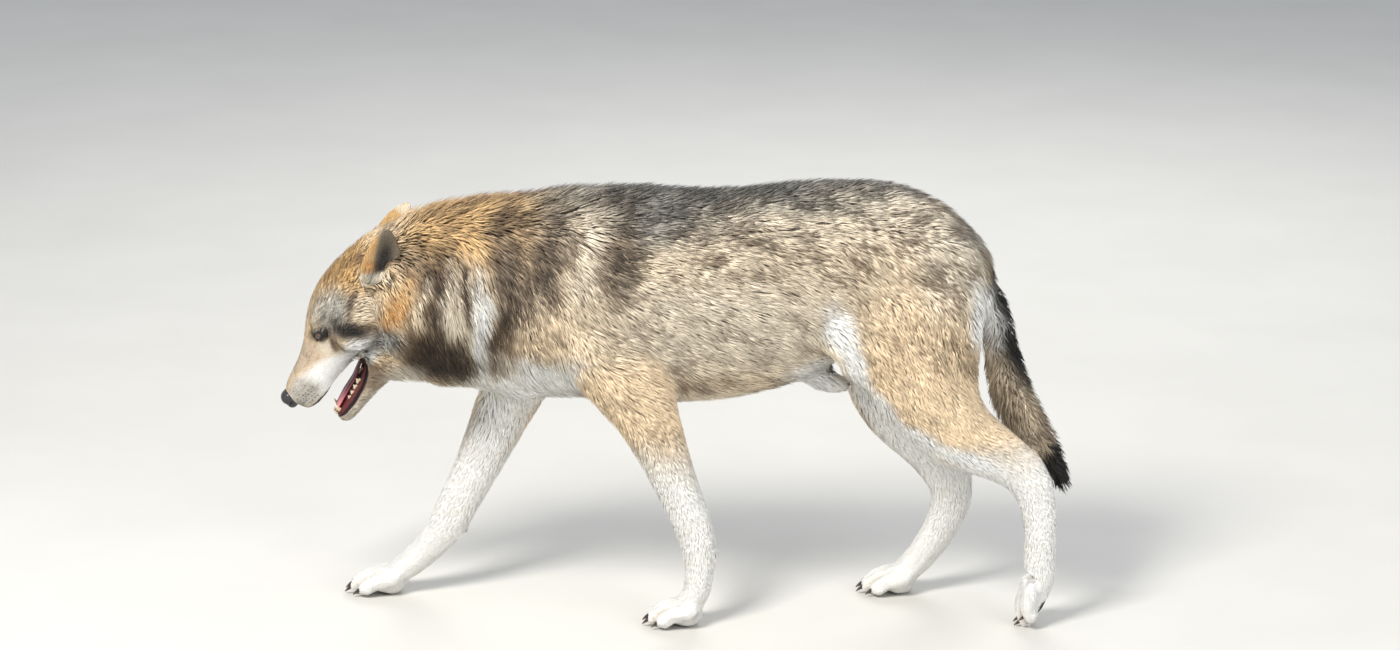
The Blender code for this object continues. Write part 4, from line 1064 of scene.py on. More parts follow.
def sole_share(points):
    """1 on the bare soles and on the stopper pads behind the wrists."""
    share = np.zeros(len(points))
    for name in PAWS:
        turn, heel = paw_frame(name)
        ahead, side, up = ((points - heel) @ turn).T
        r, length = TOE_RADIUS, PAWS[name][2]
        pads = [(0.50 * length, 0.0, 0.19 * length, 1.9 * r)]
        pads += [(length - (short + 1.15) * r, out * r, 0.95 * r, 0.66 * r) for out, short in TOES]
        for x, y, long, wide in pads:
            pad = ramp(1.10, 0.95, np.hypot((ahead - x) / long, (side - y) / wide))
            share = np.maximum(share, pad * ramp(0.0062, 0.0050, up) * (up > -0.01))
    for place in WRIST_PADS:
        away = points - (np.array(place) + SHIFT)
        share = np.maximum(share, ramp(0.013, 0.010, np.linalg.norm(away - [0.006, 0, -0.004], axis=1)))
    return share


SHORT_LAYERS = 2.8  # tufts over each other where the hair is short
LAYERS_PER_METRE = 260  # more of them for the length of the hair
TAIL_LAYERS = 34  # and more again on the tail
EAR_SIZES = [0.001, 0.008, 0.0012]  # depth, length and width of the tufts on the ears
EAR_CLEARANCE = 0.0012  # how far other tufts stay from them


def tail_share(length, points):
    """1 where the long bushy hair of the tail grows."""
    return ramp(0.044, 0.056, length) * (points[:, 0] > 0.4)


def bare_share(points):
    """1 where no hair grows: mouth, nose, the eyes' openings, the soles of the feet."""
    q = to_head(points)
    nose = ramp(1.16, 1.06, np.linalg.norm((q - NOSE_PLACE) / NOSE_RADII, axis=1))
    return np.maximum.reduce([in_mouth(points), nose, lid_rim(points), sole_share(points)])


def scattered_roots(skin, count):
    """Roots of tufts over the skin, as dense as 1 / (length x width) x the layers that the coat has there.
    Long hair has more layers, and the tail most."""
    points, triangles = mesh_arrays([skin])
    a, b, c = points.astype(float)[triangles.T]
    centre = (a + b + c) / 3
    area = np.linalg.norm(np.cross(b - a, c - a), axis=1) / 2
    sizes = coat_at(centre, slice(0, 3))
    sizes[ear_field.at(centre) < 0.003] = EAR_SIZES
    _, length, width = sizes.T
    layers = SHORT_LAYERS + LAYERS_PER_METRE * np.maximum(0, length - 0.008)
    layers = layers + TAIL_LAYERS * tail_share(length, centre)
    weight = area * layers / (length * width) * (1 - bare_share(centre))
    ends = np.cumsum(weight)
    picks = np.searchsorted(ends, (np.arange(count) + rng.random(count)) / count * ends[-1])
    u, v = rng.random((2, count, 1))
    flip = u + v > 1
    u, v = np.where(flip, 1 - u, u), np.where(flip, 1 - v, v)
    roots = a[picks] + u * (b - a)[picks] + v * (c - a)[picks]
    return roots[bare_share(roots) < 0.5]


def lie_of_ears(points, lie):
    """The lie of the hair, which on the ears runs to the tip, and 1 on the ears."""
    share = ramp(0.006, 0.003, ear_field.at(points))[:, None]
    q = to_head(points)
    tip = np.where(q[:, 1:2] > 0, *unit(EAR_TIPS)) @ HEAD_TURN.T
    return blend(lie, tip, share), share[:, 0]


def over_ear(points):
    """Whether a point touches an ear or hides its open side: whether the ear is met on the way in."""
    inwards = -ear_opening(to_head(points)) @ HEAD_TURN.T
    steps = [ear_field.at(points + inwards * reach) for reach in (0.0, 0.004, 0.008, 0.012, 0.017, 0.022)]
    return np.min(steps, 0) < EAR_CLEARANCE


def streaks(points, lie, size, seed):
    """Noise drawn out along the hair: the sum of the noise at five places along it, over 2.2."""
    return sum(noise(points + lie * size * k, size, seed) for k in (-1.0, -0.5, 0.0, 0.5, 1.0)) / 2.2


# The middle and the tip of a tuft: at which share of its length, and how far up through the coat's depth.
MIDDLE = (0.45, 0.66)
TIP = (0.92, 1.0)
ROOT_SUNK = 0.0006
LID_HAIR = 0.0014  # how far the hair of the lids stands out


def make_tufts(roots):
    """Every tuft as seven points: a triangle at the root, one half way, and the tip.  The tuft rises through
    the coat's depth as it runs along the lie of the hair, steeply at first and then almost flat.  Returns,
    for the tufts that stay clear of the ears, the roots, the points and colours, 7 of each, and the way out
    of the body, longest where the hair is short and the light should fall on it as on a smooth coat."""
    count = len(roots)
    values = coat_at(roots)
    depth, length, width = values[:, :3].T
    normal = unit(blend(flesh_field.slope(roots), from_eyes(roots), near_eyes(roots)[:, None]))
    lie, ear_share = lie_of_ears(roots, values[:, 3:6])
    on_ears = (ear_share > 0.5).astype(float)
    # The hair of the lids stands out of the outline.
    proud = ramp(-0.0010, -0.0002, outline_field.at(roots)) * (1 - on_ears)
    depth = np.minimum(depth, np.maximum(0.0008, -outline_field.at(roots)))
    along_ear, across_ear = ear_place(to_head(roots))
    brush = ramp(0.040, 0.030, along_ear) * ramp(-0.002, 0.006, across_ear)
    length = blend(length, 0.008 + 0.010 * brush, ear_share)
    width = blend(width, 0.0013, ear_share)
    swirl = [noise(roots, 0.06, k) * 0.20 + noise(roots, 0.022, 3 + k) * 0.20 for k in range(3)]
    swirl = np.stack(swirl, 1)
    lie = lie + swirl * ramp(0.006, 0.03, length)[:, None] + rng.normal(0, 0.10, (count, 3))
    lie = unit(lie - (lie * normal).sum(1, keepdims=True) * normal)
    across = np.cross(normal, lie)
    length = length * rng.uniform(0.72, 1.15, count)
    width = width * rng.uniform(0.7, 1.25, count)
    lock = noise(roots, 0.018, 9) + 0.6 * noise(roots, 0.009, 10)
    long = ramp(0.012, 0.030, length)
    bushy = tail_share(values[:, 1], roots)
    rise = 0.96 + 0.20 * bushy + (0.09 * lock + rng.normal(0, 0.05, count)) * (0.4 + 0.6 * long)
    clump = np.stack([noise(roots, 0.012, 12 + k) for k in range(3)], 1) * 0.14 * length[:, None]

    def along(share, lift):
        """A place on the tuft, at a share of its length and at a share of the coat's depth."""
        place = roots + lie * (length * share)[:, None] + clump * share**2
        wanted = -depth * (1 - lift * rise)
        slope = unit(outline_field.slope(place))
        step = np.clip(wanted - outline_field.at(place), -0.6 * length, 0.6 * length)
        on_body = place + blend(slope * step[:, None], normal * (LID_HAIR * lift), proud[:, None])
        ear_step = (0.0012 + 0.004 * brush) * lift - EAR_COAT - ear_field.at(place)
        on_ear = place + unit(ear_field.slope(place)) * np.clip(ear_step, -0.005, 0.005)[:, None]
        return blend(on_body, on_ear, on_ears[:, None])

    mid, tip = along(*MIDDLE), along(*TIP)
    sunk = roots - normal * ROOT_SUNK
    thick = (0.10 + 0.20 * long[:, None]) * width[:, None] * normal
    half = 0.5 * width[:, None] * across
    root_ring = np.stack([sunk - 0.75 * half, sunk + 0.75 * half, sunk + thick], 1)
    mid_ring = np.stack([mid - half, mid + half, mid + thick * 0.8], 1)
    points = np.concatenate([root_ring, mid_ring, tip[:, None]], 1)

    outwards = normal * (2.4 - 1.8 * long[:, None])
    colours = tuft_colours(roots, lie, normal, length, values[:, 1], long)
    clear = (on_ears > 0) | ~(over_ear(mid) | over_ear(tip))
    return roots[clear], points[clear], colours[clear], outwards[clear]


def tuft_colours(roots, lie, normal, length, grown, long):
    """The colours of each tuft's seven points, from the under hair to the tip.  Streaks along the hair make
    more or less of the tip dark, broad ones where the coat is grown long, and some tufts are lighter than
    others.  long is 1 for a long tuft and 0 for a short one."""
    count = len(roots)
    tone = coat_colours(roots + lie * (0.6 * length)[:, None], normal)
    hair, dark, share = tone[:, :3], tone[:, 3:6], tone[:, 6]
    broad = 0.95 * streaks(roots, lie, 0.012, 30) + 0.60 * noise(roots, 0.026, 33)
    fine = 0.85 * streaks(roots, lie, 0.0035, 36) + 0.50 * noise(roots, 0.007, 37)
    mottle = blend(fine, broad, ramp(0.011, 0.022, grown)) + 0.40 * rng.normal(0, 1, count)
    tipped = np.clip(share + (0.12 + 1.5 * share * (1 - share)) * mottle, 0, 1)[:, None]
    uneven = rng.normal(0, 0.10, count) + 0.10 * noise(roots, 0.02, 40) + 0.06 * noise(roots, 0.007, 41)
    light = np.exp(uneven * (0.35 + 0.65 * long))[:, None]
    hair = hair * light
    # The under hair is paler, and darker by 0.95 to 0.80 as the hair grows long: painted shade deep in the
    # coat.
    under = blend(hair, linear(CREAM), 0.25) * (0.95 - 0.15 * long[:, None])
    mid_colour = blend(hair, dark, np.clip(tipped * 1.5 - 0.75, 0, 1) * 0.8)
    tip_colour = blend(hair, dark, np.clip(tipped * 1.6, 0, 1))
    return np.stack([under] * 3 + [mid_colour] * 3 + [tip_colour], 1)


def paint_skin(skin):
    """The skin's colours: coat markings, lips, gums, the mouth's depth in painted shade, lid rims, pads."""
    points = points_of(skin)
    tone = coat_colours(points, unit(flesh_field.slope(points)))
    colour = blend(tone[:, :3], tone[:, 3:6], 0.35 * tone[:, 6:7])
    up_lip = up_lower_lip(to_head(points))[:, None]
    lining = blend(linear(LIP), linear(GUM), ramp(0.22, 0.34, up_lip))
    # From the jaw's top into the open mouth the lining is darkest: dark flesh with painted shade.
    lining = blend(lining, linear(MOUTH_DEPTH_SHADE), ramp(0.60, 0.95, up_lip))
    lining = blend(lining, linear(LIP), ramp(1.6, 2.2, up_lip))
    mouth, rim, soles = in_mouth(points), lid_rim(points), sole_share(points)
    for over, share in ((lining, mouth), (linear(BLACK), rim), (linear(PAD), soles)):
        colour = blend(colour, over, share[:, None])
    paint(skin, "coat_colour", colour)
    paint(skin, "bare", np.maximum.reduce([mouth, rim, 0.5 * soles]))


TUFT_ROOT = [[0, 2, 1]]
TUFT_SIDES = [[0, 1, 4], [0, 4, 3], [1, 2, 5], [1, 5, 4], [2, 0, 3], [2, 3, 5]]
TUFT_TIP = [[3, 4, 6], [4, 5, 6], [5, 3, 6]]
TUFT_FACES = np.array(TUFT_ROOT + TUFT_SIDES + TUFT_TIP)
# Where the seven points of a tuft lie on its patch of the unwrap, in shares of the patch.
TUFT_PATCH = np.array([[0.0, 0.0], [1.0, 0.0], [0.5, 0.0], [0.0, 0.5], [1.0, 0.5], [0.5, 0.5], [0.5, 1.0]])
PATCH = 0.003  # how large a tuft's patch is
TRUNK_HEIGHT = 0.58  # of the line along the trunk that its unwrap goes round
TRUNK_FRONT = 0.06  # where the front half of the trunk ends
NECK_END = -0.315  # where the neck ends at the trunk's line
NECK_SLANT = 0.45  # how much farther forward it ends higher up
LEG_TOP = 0.40
HEAD_BACK, HEAD_LOW = -0.205, -0.185  # in the head's frame, the ends of its pieces of coat
FACE_END = -0.055
SIDED = ("coat_trunk_rear", "coat_trunk_front", "coat_neck", "coat_face", "coat_head")


def coat_regions(roots):
    """The name of the piece that each tuft belongs to, and its place on an unwrap of that part of the skin:
    how far along the part it is, and the angle round it."""
    q = to_head(roots)
    drawn = roots - SHIFT
    above = drawn[:, 2] - TRUNK_HEIGHT
    names = np.full(len(roots), "coat_trunk_rear", dtype=object)
    along, angle = drawn[:, 0].copy(), np.arctan2(np.abs(drawn[:, 1]), above)
    names[drawn[:, 0] < TRUNK_FRONT] = "coat_trunk_front"
    names[drawn[:, 0] + NECK_SLANT * above < NECK_END] = "coat_neck"
    for (limb, line), share in zip(LIMBS.items(), limb_share(roots)):
        mine = (share > 0.5) & ((drawn[:, 2] < LEG_TOP) | (limb == "tail"))
        names[mine] = "coat_" + limb
        x, y, z = np.array(line)[::-1, :3].T
        along[mine] = drawn[mine, 2]
        centre_x, centre_y = (np.interp(drawn[mine, 2], z, side) for side in (x, y))
        angle[mine] = np.arctan2(drawn[mine, 1] - centre_y, drawn[mine, 0] - centre_x)
    on_foreleg = np.array([n.startswith("coat_foreleg") for n in names])
    head = (q[:, 0] > HEAD_BACK) & (q[:, 2] > HEAD_LOW) & ~on_foreleg
    names[head] = np.where(q[head, 0] > FACE_END, "coat_face", "coat_head")
    along[head] = q[head, 0]
    angle[head] = np.arctan2(np.abs(q[head, 1]), q[head, 2] + 0.05)
    ears = (ear_field.at(roots) < 0.004) & head
    names[ears] = "coat_ears"
    sided = np.array([n in SIDED for n in names])
    left = np.where(head, q[:, 1] > 0, drawn[:, 1] < 0)
    names[sided] = names[sided] + np.where(left[sided], "_left", "_right")
    return names.astype(str), np.stack([along, angle], 1)


def spread(values):
    """Values moved and scaled to lie between 0.01 and 0.98."""
    low, high = values.min(0), values.max(0)
    return 0.01 + 0.97 * (values - low) / np.maximum(high - low, 1e-9)


def make_coat(skin):
    """The pieces of the coat, each a joined mesh of tufts with its colours, its unwrap, and normals that are
    turned outwards so that short hair shades like a smooth coat."""
    roots, points, colours, outwards = make_tufts(scattered_roots(skin, TUFTS))
    names, unwrap = coat_regions(roots)
    pieces = []
    for name in sorted(set(names)):
        mine = np.nonzero(names == name)[0]
        mine = mine[rng.permutation(len(mine))[:PIECE_TUFTS]]
        faces = (np.arange(len(mine))[:, None, None] * 7 + TUFT_FACES).reshape(-1, 3)
        piece = mesh_object(name, points[mine].reshape(-1, 3), faces)
        paint(piece, "coat_colour", colours[mine].reshape(-1, 3))
        own = np.empty(len(mine) * 21, np.float32)
        piece.data.vertex_normals.foreach_get("vector", own)
        soft = unit(own.reshape(-1, 3) + np.repeat(outwards[mine], 7, axis=0))
        piece.data.normals_split_custom_set_from_vertices(soft.tolist())
        patch = spread(unwrap[mine])[:, None, :] + PATCH * (TUFT_PATCH - 0.5)
        layer = piece.data.uv_layers.new(name="OFBake")
        layer.data.foreach_set("uv", patch.reshape(-1, 2)[faces.ravel()].astype(np.float32).ravel())
        pieces.append(piece)
    return pieces


# ---------------------------------------------------------------- eyes, nose, teeth, tongue and claws


def tube(centres, across, up, widths, heights, sides=16):
    """A grid of rings: centre + across * width * cos(a) + up * height * sin(a)."""
    turn = np.arange(sides) * 2 * math.pi / sides
    across, up = np.broadcast_to(across, centres.shape), np.broadcast_to(up, centres.shape)
    wide = across[:, None] * np.asarray(widths)[:, None, None] * np.cos(turn)[None, :, None]
    high = up[:, None] * np.asarray(heights)[:, None, None] * np.sin(turn)[None, :, None]
    return centres[:, None] + wide + high


def joined(name, grids, tones, material, in_head=True):
    """One object of several grids of rings.  Each is shut at both ends by a point and faces outwards, and
    tones has its colours, one for each ring or for each point."""
    points, quads, triangles, colours, start = [], [], [], [], 0
    for grid, tone in zip(grids, tones):
        rows, sides = grid.shape[:2]
        tone = np.broadcast_to(tone if tone.ndim == 3 else tone[:, None], grid.shape)
        number = start + np.arange(rows * sides).reshape(rows, sides)
        after = np.roll(number, -1, axis=1)
        walls = np.stack([number[:-1], after[:-1], after[1:], number[1:]], -1).reshape(-1, 4)
        first, last = start + rows * sides, start + rows * sides + 1
        front = np.stack([np.full(sides, first), after[0], number[0]], 1)
        back = np.stack([np.full(sides, last), number[-1], after[-1]], 1)
        ends = np.concatenate([front, back])
        own = np.concatenate([grid.reshape(-1, 3), grid[[0, -1]].mean(1)])
        a, b, c = (own[walls[:, k] - start] - own.mean(0) for k in (0, 1, 2))
        if np.einsum("ij,ij->i", a, np.cross(b, c)).sum() < 0:
            walls, ends = walls[:, ::-1], ends[:, ::-1]
        points.append(own)
        quads.append(walls)
        triangles.append(ends)
        colours.append(np.concatenate([tone.reshape(-1, 3), tone[[0, -1]].mean(1)]))
        start += len(own)
    points = np.concatenate(points)
    points = from_head(points) if in_head else points
    obj = mesh_object(name, points, np.concatenate(quads), np.concatenate(triangles))
    paint(obj, "piece_colour", linear(np.concatenate(colours)))
    obj.data.materials.append(material)
    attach(obj, "root")
    return obj


IRIS = math.radians(29)  # half the angle that it takes up on the eyeball
PUPIL = math.radians(13)
AMBER = np.array([0.36, 0.235, 0.095])
PUPIL_BLACK = [0.02, 0.018, 0.016]
# Painted shade: the white is painted as dark as it looks in the shade of the lids.
EYE_WHITE_IN_SHADE = [0.11, 0.08, 0.065]  # as dark as it is under the lids
NOSE_BLACK = np.array([0.125, 0.118, 0.125])
# Painted shade: the tongue's root is painted dark maroon, as it lies in the shade at the back of the mouth.
TONGUE_ROOT_SHADE = np.array([0.34, 0.13, 0.145])
TONGUE_PINK = np.array([0.83, 0.50, 0.52])
TOOTH_ROOT = np.array([0.66, 0.58, 0.44])
TOOTH_POINT = np.array([0.86, 0.82, 0.72])
CLAW_ROOT = np.array([0.16, 0.13, 0.115])
CLAW_POINT = np.array([0.42, 0.36, 0.30])


def make_eyes(material):
    """Each eye a ball of radius R (1 + 0.05 exp(-(t / 0.42)^2)) at the angle t from where it looks, with a
    brown-amber iris that darkens to its rim, and a white painted dark as the shade under the lids."""
    tilt = np.radians(np.concatenate([np.arange(0.5, 40.0, 1.0), np.arange(40.0, 179.0, 6.0)]))
    bulge = EYE_RADIUS * (1 + 0.05 * np.exp(-((tilt / 0.42) ** 2)))
    for side, node in EYE_SIDES:
        look, slit, lift = eye_frame(side)
        ring = bulge * np.sin(tilt)
        grid = tube(eye_centre(side) + look * (bulge * np.cos(tilt))[:, None], slit, lift, ring, ring, 64)
        fibres = 0.85 + 0.3 * np.random.default_rng(3).random((1, 64, 1)) * np.ones((len(tilt), 1, 3))
        rim = blend(1.0, 0.45, ramp(0.70, 0.98, tilt / IRIS))
        tone = AMBER * fibres * rim[:, None, None]
        tone = np.where((tilt < PUPIL)[:, None, None], PUPIL_BLACK, tone)
        tone = np.where((tilt > IRIS)[:, None, None], EYE_WHITE_IN_SHADE, tone)
        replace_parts(joined(node + "_ball", [grid], [tone], material), node)


def make_nose(material):
    """A rounded block |x|^n + |y|^n + |z|^n = 1 of the nose's radii, with two nostrils that run out to the
    sides, and a groove down its middle.  Nostrils and slits are painted darker, as painted shade in them."""
    power = 2.6
    tilt = np.linspace(0.01, math.pi - 0.01, 70)[:, None]
    turn = np.arange(96) * 2 * math.pi / 96
    ahead, out, up = np.cos(tilt) * np.ones(96), np.sin(tilt) * np.cos(turn), np.sin(tilt) * np.sin(turn)
    way = np.stack([ahead, out, up], -1)
    size = 1 / (np.abs(way) ** power).sum(-1) ** (1 / power)
    side = np.abs(out)
    hole = np.exp(-(((side - 0.44) / 0.17) ** 2) - ((up + 0.02) / 0.20) ** 2) * ramp(0.1, 0.5, ahead)
    comma = np.exp(-(((up + 0.20 - 0.25 * (0.9 - side)) / 0.11) ** 2)) * ramp(0.45, 0.62, side)
    comma = comma * ramp(-0.15, 0.15, ahead)
    groove = np.exp(-((out / 0.05) ** 2)) * ramp(0.35, 0.0, up) * ramp(0.2, 0.6, ahead)
    size = size * (1 - 0.42 * hole - 0.26 * comma - 0.06 * groove)
    grid = NOSE_PLACE + way * size[..., None] * NOSE_RADII
    # Painted shade: the nostrils and the slits are painted darker than the leather.
    tone = NOSE_BLACK * (1 - 0.75 * np.maximum(hole, comma))[..., None]
    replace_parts(joined("nose_leather", [grid], [tone], material), "nose")


# The tongue in the head's frame: forward, height, half width, half thickness.
TONGUE = np.array(
    [
        (0.000, -0.0860, 0.008, 0.0030),
        (0.036, -0.0985, 0.015, 0.0042),
        (0.066, -0.1025, 0.017, 0.0042),
        (0.088, -0.1070, 0.0155, 0.0036),
        (0.100, -0.1110, 0.010, 0.0028),
        (0.105, -0.1130, 0.002, 0.0008),
    ]
)


def make_tongue(material):
    """A broad tongue with a groove along it, pink towards its tip and darkened at its root by painted shade.
    """
    forward = TONGUE[-1, 0] * np.sin(np.linspace(0, 1, 40) * math.pi / 2)
    height, width, thick = (np.interp(forward, TONGUE[:, 0], TONGUE[:, k]) for k in (1, 2, 3))
    centres = np.stack([forward, 0 * forward, height], 1)
    grid = tube(centres, [0, 1, 0], [0, 0, 1], width, thick, 32)
    top = ramp(0.0, 0.002, grid[..., 2] - height[:, None])
    grid[..., 2] -= top * 0.0028 * np.exp(-((grid[..., 1] / 0.0035) ** 2))
    pink = ramp(0.045, 0.090, forward)[:, None]
    tone = blend(TONGUE_ROOT_SHADE, TONGUE_PINK, pink)
    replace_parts(joined("tongue_flesh", [grid], [tone], material), "tongue")


def jaw_side(forward, height):
    """How far out the skin is at a place on the side of the jaw."""
    out = np.arange(0.045, 0.004, -0.0005)
    line = np.stack([np.full_like(out, forward), out, np.full_like(out, height)], 1)
    inside = np.nonzero(flesh_field.at(from_head(line)) < 0)[0]
    return out[inside[0]] if len(inside) else out[-1]


# A cheek tooth's points: forward of its middle in lengths, share of its height, share of its length.
CUSPS = ((0.0, 1.0, 0.75), (-0.36, 0.55, 0.45), (0.36, 0.6, 0.45))
# Cheek teeth in the head's frame: lower jaw or not, forward, height of the root, length, height.
CHEEK_TEETH = [
    (True, 0.008, -0.0925, 0.0090, 0.0075),
    (True, 0.020, -0.1010, 0.0110, 0.0090),
    (True, 0.033, -0.1065, 0.0100, 0.0080),
    (True, 0.045, -0.1090, 0.0085, 0.0070),
    (True, 0.056, -0.1110, 0.0070, 0.0060),
    (True, 0.066, -0.1125, 0.0060, 0.0050),
    (False, 0.022, -0.0660, 0.0120, 0.0085),
    (False, 0.038, -0.0650, 0.0110, 0.0085),
    (False, 0.052, -0.0650, 0.0090, 0.0075),
    (False, 0.066, -0.0645, 0.0070, 0.0070),
]


# Canines: lower jaw or not, forward, out, height of the root, length, height.  Incisors have no out, because
# they stand in a row of three on each side, and are as thick as they are long.
CANINES = [
    (True, 0.0955, 0.0115, -0.1150, 0.0085, 0.0165),
    (False, 0.1060, 0.0150, -0.0630, 0.0085, -0.0145),
]
INCISORS = [(True, 0.106, -0.1155, 0.0040, 0.0070), (False, 0.120, -0.0640, 0.0042, -0.0075)]
INCISORS_OUT = (0.0020, 0.0056, 0.0088)


def blade(root, length, height, thick, lean):
    """A tooth: rings from its root to its point that shrink as (1 - t)^0.7, bent backwards by lean."""
    t = np.linspace(0, 0.97, 9)
    way = 1.0 if height > 0 else -1.0
    centres = root + np.stack([-lean * t**2, 0 * t, height * t], 1)
    shrink = (1 - t) ** 0.7 * 0.5
    return tube(centres, [1, 0, 0], [0, way, 0], length * shrink, thick * shrink, 14)


def make_teeth(material):
    """Cheek teeth along both jaws, canines, and incisors at the front."""
    grids = {True: [], False: []}
    for side in (1, -1):
        for lower, forward, root, length, height in CHEEK_TEETH:
            out = jaw_side(forward, root) - (LIP_SUNK + 0.0004 if lower else 0.008)
            for cusp, high, long in CUSPS:
                place = np.array([forward + cusp * length, side * out, root])
                rise = height * high * (1 if lower else -1)
                grids[lower].append(blade(place, length * long, rise, 0.0042, 0.001))
        for lower, forward, out, root, length, height in CANINES:
            grids[lower].append(blade(np.array([forward, side * out, root]), length, height, 0.0066, 0.004))
        for out in INCISORS_OUT:
            for lower, forward, root, length, height in INCISORS:
                place = np.array([forward - 30 * out**2, side * out, root])
                grids[lower].append(blade(place, length, height, length, 0.0))
    tone = blend(TOOTH_ROOT, TOOTH_POINT, np.linspace(0, 1, 9)[:, None])
    for lower, name in ((True, "teeth_lower"), (False, "teeth_upper")):
        joined(name, grids[lower], [tone] * len(grids[lower]), material)


def make_claws(material):
    """Four bent claws on each foot, level with the floor also where the foot stands on its toes."""
    t = np.linspace(0, 0.97, 12)
    up = unit(np.array([0.45, 0.0, 0.9]))
    r = TOE_RADIUS
    for name, (_, pitch, length) in PAWS.items():
        turn, heel = paw_frame(name)
        level = np.array(Matrix.Rotation(-math.radians(pitch), 3, "Y"))
        grids = []
        for side, short in TOES:
            root = np.array([length - (short + 0.72) * r, side * r * 0.99, 1.12 * r])
            centres = root + np.stack([1.70 * r * t, 0 * t, r * (0.10 * t - 0.90 * t**2)], 1)
            shrink = (1 - t) ** 0.6 * r
            grid = tube(centres, [0, 1, 0], up, 0.30 * shrink, 0.42 * shrink, 14)
            grids.append(((grid - root) @ level.T + root) @ turn.T + heel)
        tone = blend(CLAW_ROOT, CLAW_POINT, ramp(0.5, 1.0, t)[:, None])
        joined("claws_" + name, grids, [tone] * 4, material, in_head=False)


# ---------------------------------------------------------------- materials


class Wire:
    """A socket that Python's operators join by Math nodes."""

    def __init__(self, shader, socket):
        self.shader, self.socket = shader, socket

    def _math(self, operation, a, b):
        return self.shader.node("ShaderNodeMath", {"operation": operation}, [a, b])[0]

    def __sub__(self, other):
        return self._math("SUBTRACT", self, other)

    def __rsub__(self, other):
        return self._math("SUBTRACT", other, self)

    def __mul__(self, other):
        return self._math("MULTIPLY", self, other)

    __rmul__ = __mul__


class Shader:
    """One material's nodes."""

    def __init__(self, name, roughness=0.6, **constants):
        self.material = bpy.data.materials.new(name)
        self.material.use_nodes = True
        self.tree = self.material.node_tree
        self.surface = self.tree.nodes["Principled BSDF"]
        self.surface.inputs["Roughness"].default_value = roughness
        for socket, value in constants.items():
            self.surface.inputs[socket.replace("_", " ")].default_value = value

    def node(self, kind, settings=(), inputs=()):
        """A node of a kind with its settings and the values or links of its sockets, by order or by name."""
        made = self.tree.nodes.new(kind)
        for key, value in dict(settings).items():
            setattr(made, key, value)
        pairs = inputs.items() if isinstance(inputs, dict) else enumerate(inputs)
        for key, value in pairs:
            if isinstance(value, Wire):
                self.tree.links.new(value.socket, made.inputs[key])
            elif value is not None:
                made.inputs[key].default_value = value
        return [Wire(self, socket) for socket in made.outputs if socket.enabled]

    def place(self):
        """Object coordinates."""
        return Wire(self, self.tree.nodes.new("ShaderNodeTexCoord").outputs["Object"])

    def noise(self, scale, detail=3.0):
        """Noise between 0 and 1."""
        inputs = {"Vector": self.place(), "Scale": scale, "Detail": detail, "Roughness": 0.55}
        return self.node("ShaderNodeTexNoise", {}, inputs)[0]

    def mix(self, share, a, b):
        """Two colours mixed."""
        inputs = {0: share, 6: (*linear(a), 1.0), 7: (*linear(b), 1.0)}
        return self.node("ShaderNodeMix", {"data_type": "RGBA", "blend_type": "MIX"}, inputs)[0]

    def span(self, value, low, high, to_low=0.0, to_high=1.0):
        """A number's range carried over to another one."""
        return self.node("ShaderNodeMapRange", {"clamp": True}, [value, low, high, to_low, to_high])[0]

    def grained(self, name, scale, detail, dark, light):
        """A colour stored on the mesh, times a fine grain from dark to light."""
        grain = self.span(self.noise(scale, detail), 0.3, 0.7, dark, light)
        colour = self.node("ShaderNodeAttribute", {"attribute_name": name})[0]
        return self.node("ShaderNodeVectorMath", {"operation": "SCALE"}, {0: colour, 3: grain})[0]

    def finish(self, colour, height=None, depth=0.001, roughness=None):
        """Joins the colour, the bump and the roughness to the surface."""
        self.tree.links.new(colour.socket, self.surface.inputs["Base Color"])
        if roughness is not None:
            self.tree.links.new(roughness.socket, self.surface.inputs["Roughness"])
        if height is not None:
            bump = self.node("ShaderNodeBump", {}, {"Strength": 1.0, "Distance": depth, "Height": height})[0]
            self.tree.links.new(bump.socket, self.surface.inputs["Normal"])
        return self.material


def coat_material():
    """Hair: the tufts' own colours with a fine grain, soft and a little shiny."""
    s = Shader("coat", roughness=0.62, Specular_IOR_Level=0.25)
    return s.finish(s.grained("coat_colour", 900, 2.0, 0.86, 1.12))


def skin_material():
    """Short flat hair and bare skin: the same markings, with the relief of the hair, and moist where bare."""
    s = Shader("skin", Specular_IOR_Level=0.4)
    bare = s.node("ShaderNodeAttribute", {"attribute_name": "bare"})[2]
    tone = s.grained("coat_colour", 700, 3.0, 0.70, 1.15)
    return s.finish(tone, s.noise(620), depth=0.0008, roughness=0.75 - 0.45 * bare)


def piece_material(name, roughness, coat_weight, relief, depth):
    """Painted horn, leather or flesh under a wet coat, with a fine relief."""
    s = Shader(name, roughness=roughness, Coat_Weight=coat_weight, Coat_Roughness=0.06)
    return s.finish(s.grained("piece_colour", relief, 2.0, 0.9, 1.08), s.noise(relief, 2.0), depth=depth)


def stage_material(colour):
    """A matt floor, faintly cloudy."""
    s = Shader("pale floor", roughness=0.9)
    return s.finish(s.mix(s.span(s.noise(3.0), 0.3, 0.7), colour, tuple(0.98 * c for c in colour)))


# ---------------------------------------------------------------- the stage

CAMERA_TARGET = Vector((0.037, 0.001, 0.510))
CAMERA_DISTANCE = 6.97
CAMERA_ELEVATION = math.radians(15)
CAMERA_WIDTH = 2.393  # how wide the view is at the target
SENSOR = 36  # in millimetres
FLOOR_HALF = 14.0
FLOOR_COLOUR = (0.80, 0.79, 0.76)
FLOOR_BELOW = 0.0002  # how far the floor is under the paws
SKY_COLOUR = (0.82, 0.88, 1.0, 1.0)
SKY_STRENGTH = 0.65
LIT_PLACE = Vector((0.0, 0.0, 0.4))  # what the lamps shine on
